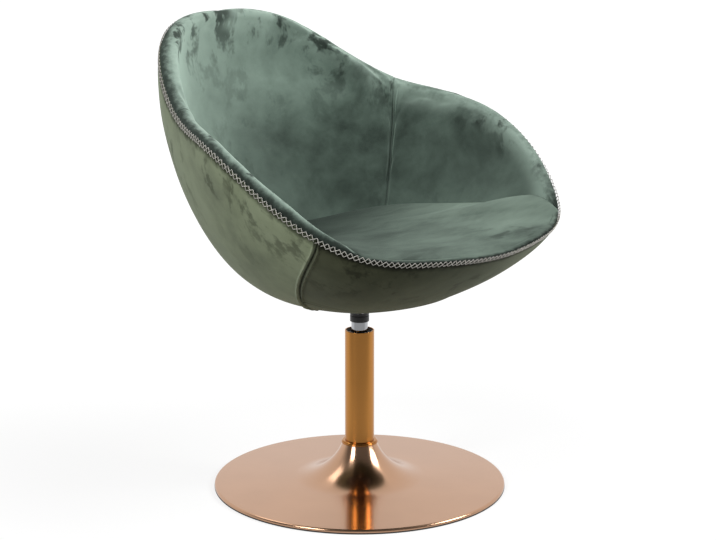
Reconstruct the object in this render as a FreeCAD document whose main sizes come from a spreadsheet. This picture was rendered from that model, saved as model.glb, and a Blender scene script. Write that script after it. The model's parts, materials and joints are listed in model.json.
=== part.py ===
"""Pedestal swivel armchair: copper trumpet base, swivel column and upholstered bucket seat.

The front of the chair faces -Y, the sitter's right is -X and +Z is up.  The origin is the
centre of the base on the floor, which is also a point of the swivel axis.  All sizes are in
millimetres and live in the spreadsheet "sizes"; angles round the bucket are in degrees from
the front.
"""
import FreeCAD, Part
import math
import os

import Sketcher
from FreeCAD import Placement, Rotation, Vector

SIZES = {
    # spun base
    "base_radius": 250.0,
    "base_sheet": 1.5,
    "rim_bend": 3.5,
    "rim_top": 7.5,
    "saucer_radius": 114.0,
    "saucer_height": 14.5,
    "neck_radius": 29.5,
    "neck_height": 74.5,
    # ring of rubber that the base stands on
    "edge_height": 2.5,
    "edge_overhang": 0.2,
    "edge_chamfer": 0.8,
    "edge_ledge": 4.2,
    "edge_ledge_height": 1.0,
    # ballast plate and the bolts of the column's foot
    "ballast_inset": 7.8,
    "ballast_thickness": 4.7,
    "flange_radius": 52.0,
    "flange_thickness": 6.0,
    "foot_bolt_circle": 38.0,
    "foot_bolt_radius": 4.0,
    "foot_bolt_head": 8.0,
    "foot_bolt_cone": 3.8,
    "foot_bolt_length": 10.2,
    # column
    "column_radius": 25.0,
    "column_wall": 2.0,
    "spindle_show": 15.2,
    "column_edge": 0.8,
    "foot_ring_radius": 30.3,
    "foot_ring_height": 5.0,
    "foot_ring_groove": 2.0,
    "floor_plate_base": 12.0,
    "floor_plate_thickness": 4.0,
    "bush_length": 68.0,
    "bush_recess": 1.5,
    "bush_dish": 2.5,
    "bush_lip": 2.4,
    # thrust bearing
    "ball_radius": 2.0,
    "ball_circle": 9.0,
    "ball_count": 10.0,
    "race_radius": 12.5,
    "race_thickness": 1.0,
    "cage_thickness": 2.4,
    # spindle
    "spindle_radius": 14.0,
    "spindle_wall": 2.5,
    "spindle_flange": 6.0,
    "spindle_plug": 30.0,
    "rod_radius": 5.0,
    "rod_length": 14.6,
    "clip_thickness": 0.8,
    "clip_depth": 0.8,
    "clip_radius": 8.0,
    "stop_washer_radius": 9.5,
    "stop_washer_thickness": 1.0,
    # socket and plate under the seat
    "socket_wall": 2.25,
    "socket_length": 42.0,
    "socket_chamfer": 1.2,
    "socket_taper": 0.7,
    "plate_width": 126.0,
    "plate_thickness": 3.0,
    "plate_corner": 12.0,
    "plate_lip": 8.0,
    "plate_bolt_circle": 70.0,
    "plate_bolt_radius": 4.0,
    "plate_bolt_head": 13.0,
    "plate_bolt_head_height": 5.3,
    "plate_bolt_length": 27.0,
    "plate_washer_radius": 8.0,
    "plate_washer_thickness": 1.6,
    "bolt_hole_clearance": 0.5,
    "tee_nut_radius": 11.0,
    "tee_nut_flange": 1.5,
    "tee_nut_barrel": 5.2,
    "tee_nut_length": 9.0,
    # bucket, measured on its outer cover
    "foot_radius": 93.0,
    "foot_height": 332.0,
    "rim_radius_front": 297.0,
    "rim_radius_30": 318.5,
    "rim_radius_60": 351.0,
    "rim_radius_90": 338.0,
    "rim_radius_120": 313.5,
    "rim_radius_150": 340.0,
    "rim_radius_back": 347.0,
    "rim_height_front": 445.0,
    "rim_height_30": 455.0,
    "rim_height_60": 504.0,
    "rim_height_90": 615.5,
    "rim_height_120": 656.5,
    "rim_height_150": 751.5,
    "rim_height_back": 785.0,
    "rim_lean_front": 51.0,
    "rim_lean_side": 87.0,
    "rim_lean_back": 106.0,
    "lower_pull_front": 0.26,
    "lower_pull_side": 0.39,
    "lower_pull_back": 0.41,
    "upper_pull_front": 0.30,
    "upper_pull_side": 0.185,
    "upper_pull_back": 0.17,
    "cover_thickness": 4.0,
    "shell_thickness": 6.0,
    "shell_pad_radius": 88.0,
    "shell_pad_draft": 2.0,
    "layer_gap": 0.4,
    "pad_depth": 29.0,
    "pad_depth_front": 16.0,
    "arm_end_angle": 48.0,
    "arm_full_angle": 78.0,
    "back_seam_angle": 119.0,
    "side_seam_angle": 59.3,
    "side_seam_sweep": 29.3,
    "side_seam_curve": 1.52,
    "pad_foot": 0.25,
    # seat cushion and the board that carries it
    "board_radius": 92.0,
    "board_thickness": 12.0,
    "dust_cover_radius": 97.0,
    "dust_cover_thickness": 0.8,
    "seat_edge_front": 453.0,
    "seat_edge_30": 461.0,
    "seat_edge_60": 482.0,
    "seat_edge_90": 452.0,
    "seat_edge_120": 439.5,
    "seat_edge_150": 419.0,
    "seat_edge_back": 413.0,
    "seat_centre_height": 455.0,
    "seat_slope": 0.08,
    "seat_flat_radius": 12.0,
    "seat_edge_roundness": 20.0,
    "seat_crown_reach": 0.55,
    "seat_wall_foot": 0.12,
    # clearances
    "running_fit": 0.05,
    "standing_fit": 0.05,
    "ball_play": 0.02,
    "washer_play": 0.3,
    "soft_gap": 0.3,
}

BOLTS_PER_RING = 4
COUNTERSINK_AXIS = "Edge5"
STATIONS = 7
STATION_STEP = 8.0
WALL_SAMPLES = 8
ROLL_SAMPLES = 9
SLOPE_STEP = 0.5

# shares of the foot ring's height and groove
BEAD_TOP = 0.56
GROOVE_TOP = 0.72
BEAD_ROUND = 0.3
SMALL_BEAD_ROUND = 0.25
SMALL_BEAD_REACH = 0.3
# shares of the guide bush's lip and dish
DISH_SLOPE = 1.4
DISH_LEAD = 0.4

doc =FreeCAD.newDocument("pedestal_swivel_armchair")


def fill_sheet():
    """Write the driving dimensions into the spreadsheet, one named cell each."""
    sheet = doc.addObject("Spreadsheet::Sheet", "sizes")
    for row, (name, value) in enumerate(SIZES.items(), start=1):
        sheet.set(f"A{row}", name)
        sheet.set(f"B{row}", str(value))
        sheet.setAlias(f"B{row}", name)
    doc.recompute()
    return sheet


sizes = fill_sheet()


def size(name):
    """Value of a named cell."""
    return float(getattr(sizes, name))


def value(expression):
    """Number that an expression over the cells gives."""
    return float(sizes.evalExpression(expression))


# Sketches and bodies


def origin_plane(body, role):
    """Plane or axis of a body's own origin, found by its role."""
    return next(item for item in body.Origin.OriginFeatures if item.Role == role)


def new_sketch(body, name, role="XZ_Plane", height=None):
    """Empty sketch on one of the body's origin planes, at an optional height above it."""
    sketch = body.newObject("Sketcher::SketchObject", name)
    sketch.AttachmentSupport = (origin_plane(body, role), [""])
    sketch.MapMode = "FlatFace"
    if height is not None:
        sketch.AttachmentOffset = Placement(Vector(0, 0, value(height)), Rotation())
        sketch.setExpression("AttachmentOffset.Base.z", height)
    return sketch


def bind(sketch, kind, *where, expression):
    """Add a dimension to a sketch and tie it to an expression over the cells."""
    index = sketch.addConstraint(Sketcher.Constraint(kind, *where, value(expression)))
    sketch.setExpression(f"Constraints[{index}]", expression)


def arc_between(start, end, radius, side):
    """Arc of under half a circle from start to end; its centre lies left of the way for side 1."""
    chord = end - start
    reach = math.sqrt(max(radius**2 - (chord.Length / 2) ** 2, 0.0))
    across = Vector(-chord.y, chord.x, 0).normalize()
    centre = (start + end) * 0.5 + across * (reach * side)
    first, last = (start, end) if side > 0 else (end, start)
    circle = Part.Circle(centre, Vector(0, 0, 1), radius)
    return Part.ArcOfCircle(circle, circle.parameter(first), circle.parameter(last))


def closed_outline(sketch, corners, bends=None):
    """Closed outline through corners given as pairs of expressions.

    bends maps the number of a corner to the radius and side of the arc that starts there.
    """
    bends = bends or {}
    points = [Vector(value(x), value(y), 0) for x, y in corners]
    ends = []
    for i, (x, y) in enumerate(corners):
        start, stop = points[i], points[(i + 1) % len(points)]
        if i in bends:
            radius, side = bends[i]
            edge = sketch.addGeometry(arc_between(start, stop, value(radius), side))
            bind(sketch, "Radius", edge, expression=radius)
            first, last = (1, 2) if side > 0 else (2, 1)
        else:
            edge = sketch.addGeometry(Part.LineSegment(start, stop))
            first, last = 1, 2
        bind(sketch, "DistanceX", -1, 1, edge, first, expression=x)
        bind(sketch, "DistanceY", -1, 1, edge, first, expression=y)
        ends.append((edge, first, last))
    for i, (edge, _, last) in enumerate(ends):
        after, first, _ = ends[(i + 1) % len(ends)]
        sketch.addConstraint(Sketcher.Constraint("Coincident", edge, last, after, first))


def add_circle(sketch, radius, x=None, y=None):
    """Circle about the sketch's origin, or about a point given by expressions."""
    centre = Vector(value(x) if x else 0, value(y) if y else 0, 0)
    edge = sketch.addGeometry(Part.Circle(centre, Vector(0, 0, 1), value(radius)))
    bind(sketch, "Radius", edge, expression=radius)
    if x is None and y is None:
        sketch.addConstraint(Sketcher.Constraint("Coincident", edge, 3, -1, 1))
        return
    bind(sketch, "DistanceX", -1, 1, edge, 3, expression=x or "0")
    bind(sketch, "DistanceY", -1, 1, edge, 3, expression=y or "0")


def new_body(label):
    """Empty body with the name of its node."""
    body = doc.addObject("PartDesign::Body", label)
    body.Label = label
    return body


def turned(label, corners, bends=None, angle=360.0):
    """Body of one outline turned about the upright axis."""
    body = new_body(label)
    sketch = new_sketch(body, f"{label}_outline")
    closed_outline(sketch, corners, bends)
    turn = body.newObject("PartDesign::Revolution", f"{label}_turn")
    turn.Profile = sketch
    turn.ReferenceAxis = (sketch, ["V_Axis"])
    turn.Angle = angle
    body.Tip = turn
    return body


def pad(body, sketch, length, down=False):
    """Pad of a sketch by an expression for its length."""
    feature = body.newObject("PartDesign::Pad", f"{sketch.Name}_pad")
    feature.Profile = sketch
    feature.setExpression("Length", length)
    feature.Reversed = down
    body.Tip = feature
    return feature


def through_holes(body, name, radius, circle, height, depth, count=BOLTS_PER_RING, turn=45.0):
    """Ring of round holes cut downwards from a height; the first stands at an angle from +X."""
    sketch = new_sketch(body, name, "XY_Plane", height)
    add_circle(sketch, radius, f"{circle} * cos({turn})", f"{circle} * sin({turn})")
    pocket = body.newObject("PartDesign::Pocket", f"{name}_cut")
    pocket.Profile = sketch
    pocket.setExpression("Length", depth)
    body.Tip = pocket
    return ring_pattern(body, [pocket], count)


def ring_pattern(body, features, count):
    """Repeat features evenly about the upright axis."""
    pattern = body.newObject("PartDesign::PolarPattern", f"{features[0].Name}_ring")
    pattern.Originals = features
    pattern.Axis = (origin_plane(body, "Z_Axis"), [""])
    pattern.Angle = 360
    pattern.Occurrences = count
    body.Tip = pattern
    return pattern


def ring_of_copies(label, single, count, turn=45.0):
    """Node of separate copies of one piece, evenly spaced about the upright axis."""
    copies = []
    for i in range(count):
        copy = single.copy()
        copy.rotate(Vector(0, 0, 0), Vector(0, 0, 1), turn + 360.0 * i / count)
        copies.append(copy)
    node = doc.addObject("Part::Feature", label)
    node.Label = label
    node.Shape = Part.makeCompound(copies)
    return node


def top_of_ballast():
    """Expression for the top of the ballast plate."""
    return "sizes.edge_ledge_height + sizes.ballast_thickness"


# Base


def base_disc():
    """Spun sheet: a shallow saucer that sweeps up to the neck, with a turned-down rim."""
    tilt = (
        "atan((sizes.saucer_height - sizes.rim_top)"
        " / (sizes.base_radius - sizes.rim_bend - sizes.saucer_radius))"
    )
    run = "(sizes.neck_radius - sizes.saucer_radius)"
    rise = "(sizes.neck_height - sizes.saucer_height)"
    sweep = f"(({run}^2 + {rise}^2) / (2 * ({rise} * cos({tilt}) + {run} * sin({tilt}))))"
    centre = (
        f"(sizes.saucer_radius + {sweep} * sin({tilt}))",
        f"(sizes.saucer_height + {sweep} * cos({tilt}))",
    )
    share = f"(sizes.base_sheet / {sweep})"
    corners = [
        ("sizes.neck_radius", "sizes.neck_height"),
        ("sizes.saucer_radius", "sizes.saucer_height"),
        ("sizes.base_radius - sizes.rim_bend", "sizes.rim_top"),
        ("sizes.base_radius", "sizes.rim_top - sizes.rim_bend"),
        ("sizes.base_radius", "sizes.edge_height"),
        ("sizes.base_radius - sizes.base_sheet", "sizes.edge_height"),
        ("sizes.base_radius - sizes.base_sheet", "sizes.rim_top - sizes.rim_bend"),
        ("sizes.base_radius - sizes.rim_bend", "sizes.rim_top - sizes.base_sheet"),
        (
            f"sizes.saucer_radius - sizes.base_sheet * sin({tilt})",
            f"sizes.saucer_height - sizes.base_sheet * cos({tilt})",
        ),
        (
            f"sizes.neck_radius + (sizes.neck_radius - {centre[0]}) * {share}",
            f"sizes.neck_height + (sizes.neck_height - {centre[1]}) * {share}",
        ),
    ]
    bends = {
        0: (sweep, 1),
        2: ("sizes.rim_bend", -1),
        6: ("sizes.rim_bend - sizes.base_sheet", 1),
        8: (f"{sweep} + sizes.base_sheet", -1),
    }
    return turned("base_disc", corners, bends)


def base_edge_ring():
    """Rubber ring under the rim, with a ledge that carries the ballast plate's edge."""
    inner = "sizes.base_radius - sizes.ballast_inset"
    outer = "sizes.base_radius + sizes.edge_overhang"
    corners = [
        (f"{inner} - sizes.edge_ledge", "0"),
        (f"{outer} - sizes.edge_chamfer", "0"),
        (outer, "sizes.edge_chamfer"),
        (outer, "sizes.edge_height"),
        (inner, "sizes.edge_height"),
        (inner, "sizes.edge_ledge_height"),
        (f"{inner} - sizes.edge_ledge", "sizes.edge_ledge_height"),
    ]
    return turned("base_edge_ring", corners)


def ballast_plate():
    """Steel plate inside the base, countersunk from below for the foot bolts."""
    body = new_body("ballast_plate")
    sketch = new_sketch(body, "ballast_outline", "XY_Plane", "sizes.edge_ledge_height")
    add_circle(sketch, "sizes.base_radius - sizes.ballast_inset - sizes.standing_fit")
    pad(body, sketch, "sizes.ballast_thickness")
    seat = new_sketch(body, "countersink_outline")
    axis = "sizes.foot_bolt_circle"
    wide = "sizes.foot_bolt_head + sizes.bolt_hole_clearance"
    narrow = "sizes.foot_bolt_radius + sizes.bolt_hole_clearance"
    floor = "sizes.edge_ledge_height"
    closed_outline(
        seat,
        [
            (axis, floor),
            (f"{axis} + {wide}", floor),
            (f"{axis} + {narrow}", f"{floor} + sizes.foot_bolt_cone"),
            (f"{axis} + {narrow}", top_of_ballast()),
            (axis, top_of_ballast()),
        ],
    )
    sunk = body.newObject("PartDesign::Groove", "countersink")
    sunk.Profile = seat
    sunk.ReferenceAxis = (seat, [COUNTERSINK_AXIS])
    sunk.Angle = 360
    body.Tip = sunk
    ring_pattern(body, [sunk], BOLTS_PER_RING)
    return body


def column_flange():
    """Flange welded round the column's foot, bolted down on the ballast plate."""
    body = new_body("column_flange")
    sketch = new_sketch(body, "flange_outline", "XY_Plane", top_of_ballast())
    add_circle(sketch, "sizes.flange_radius")
    add_circle(sketch, "sizes.column_radius + sizes.standing_fit")
    pad(body, sketch, "sizes.flange_thickness")
    through_holes(
        body,
        "flange_bolt_hole",
        "sizes.foot_bolt_radius + sizes.standing_fit",
        "sizes.foot_bolt_circle",
        f"{top_of_ballast()} + sizes.flange_thickness",
        "sizes.flange_thickness",
        turn=0.0,
    )
    return body


def foot_bolts():
    """Countersunk bolts that hold the flange to the ballast plate from below."""
    corners = [
        ("0", "sizes.edge_ledge_height"),
        ("sizes.foot_bolt_head", "sizes.edge_ledge_height"),
        ("sizes.foot_bolt_radius", "sizes.edge_ledge_height + sizes.foot_bolt_cone"),
        ("sizes.foot_bolt_radius", "sizes.edge_ledge_height + sizes.foot_bolt_length"),
        ("0", "sizes.edge_ledge_height + sizes.foot_bolt_length"),
    ]
    single = turned("foot_bolt_blank", corners)
    doc.recompute()
    shape = single.Shape.copy()
    shape.translate(Vector(size("foot_bolt_circle"), 0, 0))
    return ring_of_copies("foot_bolts", shape, BOLTS_PER_RING, turn=0.0)


SOCKET_TOP = "sizes.foot_height - sizes.dust_cover_thickness"
SOCKET_FOOT = f"{SOCKET_TOP} - sizes.socket_length"
COLUMN_TOP = f"{SOCKET_FOOT} - sizes.spindle_show"


def column_tube():
    """Copper-finished column from the ballast up, with a rounded top edge."""
    bore = "sizes.column_radius - sizes.column_wall"
    corners = [
        (bore, top_of_ballast()),
        ("sizes.column_radius", top_of_ballast()),
        ("sizes.column_radius", f"{COLUMN_TOP} - sizes.column_edge"),
        ("sizes.column_radius - sizes.column_edge", COLUMN_TOP),
        (bore, COLUMN_TOP),
    ]
    return turned("column_tube", corners, {2: ("sizes.column_edge", 1)})


def column_foot_ring():
    """Turned ring between neck and column: a bead, a groove and a smaller bead."""
    inner = "sizes.column_radius + sizes.standing_fit"
    outer = "sizes.foot_ring_radius"
    waist = "sizes.foot_ring_radius - sizes.foot_ring_groove"
    small_bead = f"{waist} + {SMALL_BEAD_REACH} * sizes.foot_ring_groove"
    height = "sizes.foot_ring_height"
    low = "sizes.neck_height"
    bead_top = f"{low} + {BEAD_TOP} * {height}"
    groove_top = f"{low} + {GROOVE_TOP} * {height}"
    corners = [
        (inner, low),
        (outer, low),
        (outer, bead_top),
        (waist, bead_top),
        (waist, groove_top),
        (small_bead, groove_top),
        (waist, f"{low} + {height}"),
        (inner, f"{low} + {height}"),
    ]
    bends = {1: (f"{BEAD_ROUND} * {height}", 1), 5: (f"{SMALL_BEAD_ROUND} * {height}", 1)}
    return turned("column_foot_ring", corners, bends)


def column_floor_plate():
    """Disc welded into the foot of the column, which carries the thrust bearing."""
    outer = "sizes.column_radius - sizes.column_wall - sizes.standing_fit"
    top = "sizes.floor_plate_base + sizes.floor_plate_thickness"
    corners = [
        ("sizes.rod_radius + sizes.running_fit", "sizes.floor_plate_base"),
        (outer, "sizes.floor_plate_base"),
        (outer, top),
        ("sizes.rod_radius + sizes.running_fit", top),
    ]
    return turned("column_floor_plate", corners)


def guide_bush():
    """Long plastic bush in the column's top, dished round the spindle."""
    inner = "sizes.spindle_radius + sizes.running_fit"
    outer = "sizes.column_radius - sizes.column_wall - sizes.standing_fit"
    top = f"{COLUMN_TOP} - sizes.bush_recess"
    corners = [
        (inner, f"{top} - sizes.bush_length"),
        (outer, f"{top} - sizes.bush_length"),
        (outer, top),
        (f"{outer} - sizes.bush_lip", top),
        (f"{outer} - {DISH_SLOPE} * sizes.bush_lip", f"{top} - sizes.bush_dish"),
        (f"{inner} + sizes.bush_lip", f"{top} - sizes.bush_dish"),
        (inner, f"{top} - {DISH_LEAD} * sizes.bush_dish"),
    ]
    return turned("guide_bush", corners)


# Thrust bearing


FLOOR_TOP = "sizes.floor_plate_base + sizes.floor_plate_thickness"
BALL_HEIGHT = f"{FLOOR_TOP} + sizes.race_thickness + sizes.ball_play + sizes.ball_radius"
UPPER_RACE = f"{BALL_HEIGHT} + sizes.ball_radius + sizes.ball_play"
SPINDLE_FOOT = f"{UPPER_RACE} + sizes.race_thickness"


def race(label, base):
    """Hardened washer of the thrust bearing."""
    inner = "sizes.rod_radius + 2 * sizes.running_fit"
    corners = [
        (inner, base),
        ("sizes.race_radius", base),
        ("sizes.race_radius", f"{base} + sizes.race_thickness"),
        (inner, f"{base} + sizes.race_thickness"),
    ]
    return turned(label, corners)


def bearing_cage():
    """Flat ring that spaces the balls."""
    body = new_body("bearing_cage")
    low = f"{BALL_HEIGHT} - sizes.cage_thickness / 2"
    sketch = new_sketch(body, "cage_outline", "XY_Plane", low)
    add_circle(sketch, "sizes.race_radius - sizes.running_fit")
    add_circle(sketch, "sizes.rod_radius + 4 * sizes.running_fit")
    pad(body, sketch, "sizes.cage_thickness")
    through_holes(
        body,
        "ball_pocket",
        "sizes.ball_radius + sizes.running_fit",
        "sizes.ball_circle",
        f"{BALL_HEIGHT} + sizes.cage_thickness / 2",
        "sizes.cage_thickness",
        count=int(size("ball_count")),
        turn=0.0,
    )
    return body


def bearing_balls():
    """Balls of the thrust bearing, one node."""
    centre = Vector(size("ball_circle"), 0, value(BALL_HEIGHT))
    ball = Part.makeSphere(size("ball_radius"), centre)
    return ring_of_copies("bearing_balls", ball, int(size("ball_count")), turn=0.0)


# Spindle


def spindle_tube():
    """Chromed tube from the bearing to the seat; its top narrows into the socket."""
    bore = "sizes.spindle_radius - sizes.spindle_wall"
    low = f"{SPINDLE_FOOT} + sizes.spindle_flange"
    top = f"{SOCKET_TOP} - sizes.plate_thickness"
    corners = [
        (bore, low),
        ("sizes.spindle_radius", low),
        ("sizes.spindle_radius", SOCKET_FOOT),
        ("sizes.spindle_radius - sizes.socket_taper", top),
        (bore, top),
    ]
    return turned("spindle_tube", corners)


def spindle_rod():
    """Solid foot of the spindle: a plug, a flange on the bearing and a grooved rod below."""
    plug = "sizes.spindle_radius - sizes.spindle_wall - sizes.standing_fit"
    low = f"{SPINDLE_FOOT} - sizes.rod_length"
    seat = f"{SPINDLE_FOOT} + sizes.spindle_flange"
    groove_top = CLIP_TOP
    waist = "sizes.rod_radius - sizes.clip_depth"
    corners = [
        ("0", low),
        ("sizes.rod_radius", low),
        ("sizes.rod_radius", f"{groove_top} - sizes.clip_thickness"),
        (waist, f"{groove_top} - sizes.clip_thickness"),
        (waist, groove_top),
        ("sizes.rod_radius", groove_top),
        ("sizes.rod_radius", SPINDLE_FOOT),
        ("sizes.spindle_radius", SPINDLE_FOOT),
        ("sizes.spindle_radius", seat),
        (plug, seat),
        (plug, f"{seat} + sizes.spindle_plug"),
        ("0", f"{seat} + sizes.spindle_plug"),
    ]
    return turned("spindle_rod", corners)


CLIP_TOP = "sizes.floor_plate_base - sizes.washer_play - sizes.stop_washer_thickness"


def stop_washer():
    """Washer under the column's floor plate that stops the spindle lifting out."""
    inner = "sizes.rod_radius + sizes.running_fit"
    corners = [
        (inner, CLIP_TOP),
        ("sizes.stop_washer_radius", CLIP_TOP),
        ("sizes.stop_washer_radius", f"{CLIP_TOP} + sizes.stop_washer_thickness"),
        (inner, f"{CLIP_TOP} + sizes.stop_washer_thickness"),
    ]
    return turned("stop_washer", corners)


def retaining_clip():
    """Open spring ring in the rod's groove."""
    inner = "sizes.rod_radius - sizes.clip_depth + sizes.standing_fit"
    low = f"{CLIP_TOP} - sizes.clip_thickness"
    corners = [
        (inner, low),
        ("sizes.clip_radius", low),
        ("sizes.clip_radius", CLIP_TOP),
        (inner, CLIP_TOP),
    ]
    return turned("retaining_clip", corners, angle=300.0)


def spindle_socket():
    """Black tapered sleeve welded into the mount plate, chamfered at its foot."""
    wide = "sizes.spindle_radius + sizes.standing_fit"
    narrow = f"{wide} - sizes.socket_taper"
    outer = "sizes.spindle_radius + sizes.socket_wall"
    waist = f"{SOCKET_TOP} - sizes.plate_thickness"
    corners = [
        (wide, SOCKET_FOOT),
        (f"{outer} - sizes.socket_chamfer", SOCKET_FOOT),
        (outer, f"{SOCKET_FOOT} + sizes.socket_chamfer"),
        (outer, SOCKET_TOP),
        (narrow, SOCKET_TOP),
        (narrow, waist),
    ]
    return turned("spindle_socket", corners)


def mount_plate():
    """Steel plate under the bucket, with two bent-down lips and a hole for the socket."""
    body = new_body("mount_plate")
    low = f"{SOCKET_TOP} - sizes.plate_thickness"
    sketch = new_sketch(body, "plate_outline", "XY_Plane", low)
    half = "sizes.plate_width / 2"
    inset = "(sizes.plate_width / 2 - sizes.plate_corner)"
    corners = [
        (inset, f"-{half}"),
        (half, f"-{inset}"),
        (half, inset),
        (inset, half),
        (f"-{inset}", half),
        (f"-{half}", inset),
        (f"-{half}", f"-{inset}"),
        (f"-{inset}", f"-{half}"),
    ]
    bends = {i: ("sizes.plate_corner", 1) for i in (0, 2, 4, 6)}
    closed_outline(sketch, corners, bends)
    add_circle(sketch, "sizes.spindle_radius + sizes.socket_wall + sizes.standing_fit")
    pad(body, sketch, "sizes.plate_thickness")
    for side, name in ((1, "left"), (-1, "right")):
        lip = new_sketch(body, f"{name}_lip", "XY_Plane", low)
        outer = f"{side} * {half}"
        inner = f"{side} * ({half} - sizes.plate_thickness)"
        ends = (f"-{side} * {inset}", f"{side} * {inset}")
        closed_outline(
            lip, [(outer, ends[0]), (outer, ends[1]), (inner, ends[1]), (inner, ends[0])]
        )
        pad(body, lip, "sizes.plate_lip", down=True)
    through_holes(
        body,
        "plate_bolt_hole",
        "sizes.plate_bolt_radius + sizes.bolt_hole_clearance",
        "sizes.plate_bolt_circle",
        SOCKET_TOP,
        "sizes.plate_thickness",
    )
    return body


WASHER_FOOT = f"{SOCKET_TOP} - sizes.plate_thickness - sizes.plate_washer_thickness"


def plate_bolts():
    """Hexagon bolts that hold the mount plate under the bucket."""
    body = new_body("plate_bolt_blank")
    sketch = new_sketch(body, "bolt_shank", "XY_Plane", WASHER_FOOT)
    add_circle(sketch, "sizes.plate_bolt_radius")
    pad(body, sketch, "sizes.plate_bolt_length")
    head = new_sketch(body, "bolt_head", "XY_Plane", WASHER_FOOT)
    reach = "sizes.plate_bolt_head / (2 * cos(30))"
    corners = [(f"{reach} * cos({60 * i})", f"{reach} * sin({60 * i})") for i in range(6)]
    closed_outline(head, corners)
    pad(body, head, "sizes.plate_bolt_head_height", down=True)
    doc.recompute()
    shape = body.Shape.copy()
    shape.translate(Vector(size("plate_bolt_circle"), 0, 0))
    return ring_of_copies("plate_bolts", shape, BOLTS_PER_RING)


def plate_washers():
    """Plain washers under the heads of the plate bolts."""
    low = Vector(size("plate_bolt_circle"), 0, value(WASHER_FOOT))
    thickness = size("plate_washer_thickness")
    washer = Part.makeCylinder(size("plate_washer_radius"), thickness, low)
    bore = size("plate_bolt_radius") + size("standing_fit")
    washer = washer.cut(Part.makeCylinder(bore, thickness, low))
    return ring_of_copies("plate_washers", washer, BOLTS_PER_RING)


def shell_floor():
    """Expression for the height of the bucket shell's inner floor."""
    return "sizes.foot_height + sizes.cover_thickness + sizes.layer_gap + sizes.shell_thickness"


def board_top():
    """Expression for the top of the seat board."""
    return f"{shell_floor()} + sizes.board_thickness"


def tee_nuts():
    """Flanged nuts sunk into the top of the seat board."""
    top = value(board_top())
    at = Vector(size("plate_bolt_circle"), 0, top - size("tee_nut_flange"))
    flange = Part.makeCylinder(size("tee_nut_radius"), size("tee_nut_flange"), at)
    down = Vector(0, 0, -1)
    barrel = Part.makeCylinder(size("tee_nut_barrel"), size("tee_nut_length"), at, down)
    bore_foot = at - Vector(0, 0, size("tee_nut_length"))
    bore_length = size("tee_nut_length") + size("tee_nut_flange")
    bore = Part.makeCylinder(
        size("plate_bolt_radius") + size("standing_fit"), bore_length, bore_foot
    )
    nut = flange.fuse(barrel).cut(bore).removeSplitter()
    return ring_of_copies("tee_nuts", nut, BOLTS_PER_RING)


def seat_board():
    """Round plywood board on the bucket's floor, counterbored for the tee nuts."""
    body = new_body("seat_board")
    sketch = new_sketch(body, "board_outline", "XY_Plane", shell_floor())
    add_circle(sketch, "sizes.board_radius")
    pad(body, sketch, "sizes.board_thickness")
    through_holes(
        body,
        "nut_hole",
        "sizes.tee_nut_barrel + sizes.standing_fit",
        "sizes.plate_bolt_circle",
        board_top(),
        "sizes.board_thickness",
    )
    through_holes(
        body,
        "nut_sink",
        "sizes.tee_nut_radius + sizes.standing_fit",
        "sizes.plate_bolt_circle",
        board_top(),
        "sizes.tee_nut_flange",
    )
    return body


def dust_cover():
    """Thin felt disc between the mount plate and the bucket."""
    body = new_body("dust_cover")
    sketch = new_sketch(body, "dust_cover_outline", "XY_Plane", SOCKET_TOP)
    add_circle(sketch, "sizes.dust_cover_radius")
    pad(body, sketch, "sizes.dust_cover_thickness")
    through_holes(
        body,
        "cover_bolt_hole",
        "sizes.plate_bolt_radius + sizes.bolt_hole_clearance",
        "sizes.plate_bolt_circle",
        "sizes.foot_height",
        "sizes.dust_cover_thickness",
    )
    return body


# Bucket: every layer is the outer profile, moved inwards along the profile's own normal


def cosine_series(names):
    """Smooth even function of the angle through values evenly spaced from front to back."""
    values = [size(name) for name in names]
    last = len(values) - 1

    def share(index):
        return 0.5 if index in (0, last) else 1.0

    terms = []
    for k in range(last + 1):
        total = sum(share(j) * v * math.cos(math.pi * k * j / last) for j, v in enumerate(values))
        terms.append(2.0 / last * share(k) * total)

    def at(angle):
        return sum(term * math.cos(k * math.radians(angle)) for k, term in enumerate(terms))

    return at


def station_names(stem):
    """Names of the cells of a value measured every 30 degrees from front to back."""
    middle = [f"{stem}_{30 * k}" for k in range(1, STATIONS - 1)]
    return [f"{stem}_front", *middle, f"{stem}_back"]


def three_names(stem):
    """Names of the cells of a value measured at the front, the side and the back."""
    return [f"{stem}_front", f"{stem}_side", f"{stem}_back"]


rim_radius = cosine_series(station_names("rim_radius"))
rim_height = cosine_series(station_names("rim_height"))
rim_lean = cosine_series(three_names("rim_lean"))
lower_pull = cosine_series(three_names("lower_pull"))
upper_pull = cosine_series(three_names("upper_pull"))
seat_edge = cosine_series(station_names("seat_edge"))


def profile_poles(angle):
    """Control points of the outer profile at an angle, as pairs of radius and height."""
    foot = (size("foot_radius"), size("foot_height"))
    rim = (rim_radius(angle), rim_height(angle))
    length = math.dist(foot, rim)
    lean = math.radians(rim_lean(angle))
    low = lower_pull(angle) * length
    high = upper_pull(angle) * length
    return (
        foot,
        (foot[0] + low, foot[1]),
        (rim[0] - high * math.cos(lean), rim[1] - high * math.sin(lean)),
        rim,
    )


def wall_frame(angle, t):
    """Point of the outer profile, its upward direction and its inward normal."""
    poles = profile_poles(angle)
    rest = 1.0 - t
    weights = (rest**3, 3 * rest**2 * t, 3 * rest * t**2, t**3)
    slopes = (-3 * rest**2, 3 * rest**2 - 6 * rest * t, 6 * rest * t - 3 * t**2, 3 * t**2)
    point = [sum(w * pole[axis] for w, pole in zip(weights, poles)) for axis in (0, 1)]
    along = [sum(w * pole[axis] for w, pole in zip(slopes, poles)) for axis in (0, 1)]
    speed = math.hypot(*along)
    up = (along[0] / speed, along[1] / speed)
    return point, up, (-up[1], up[0])


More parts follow.
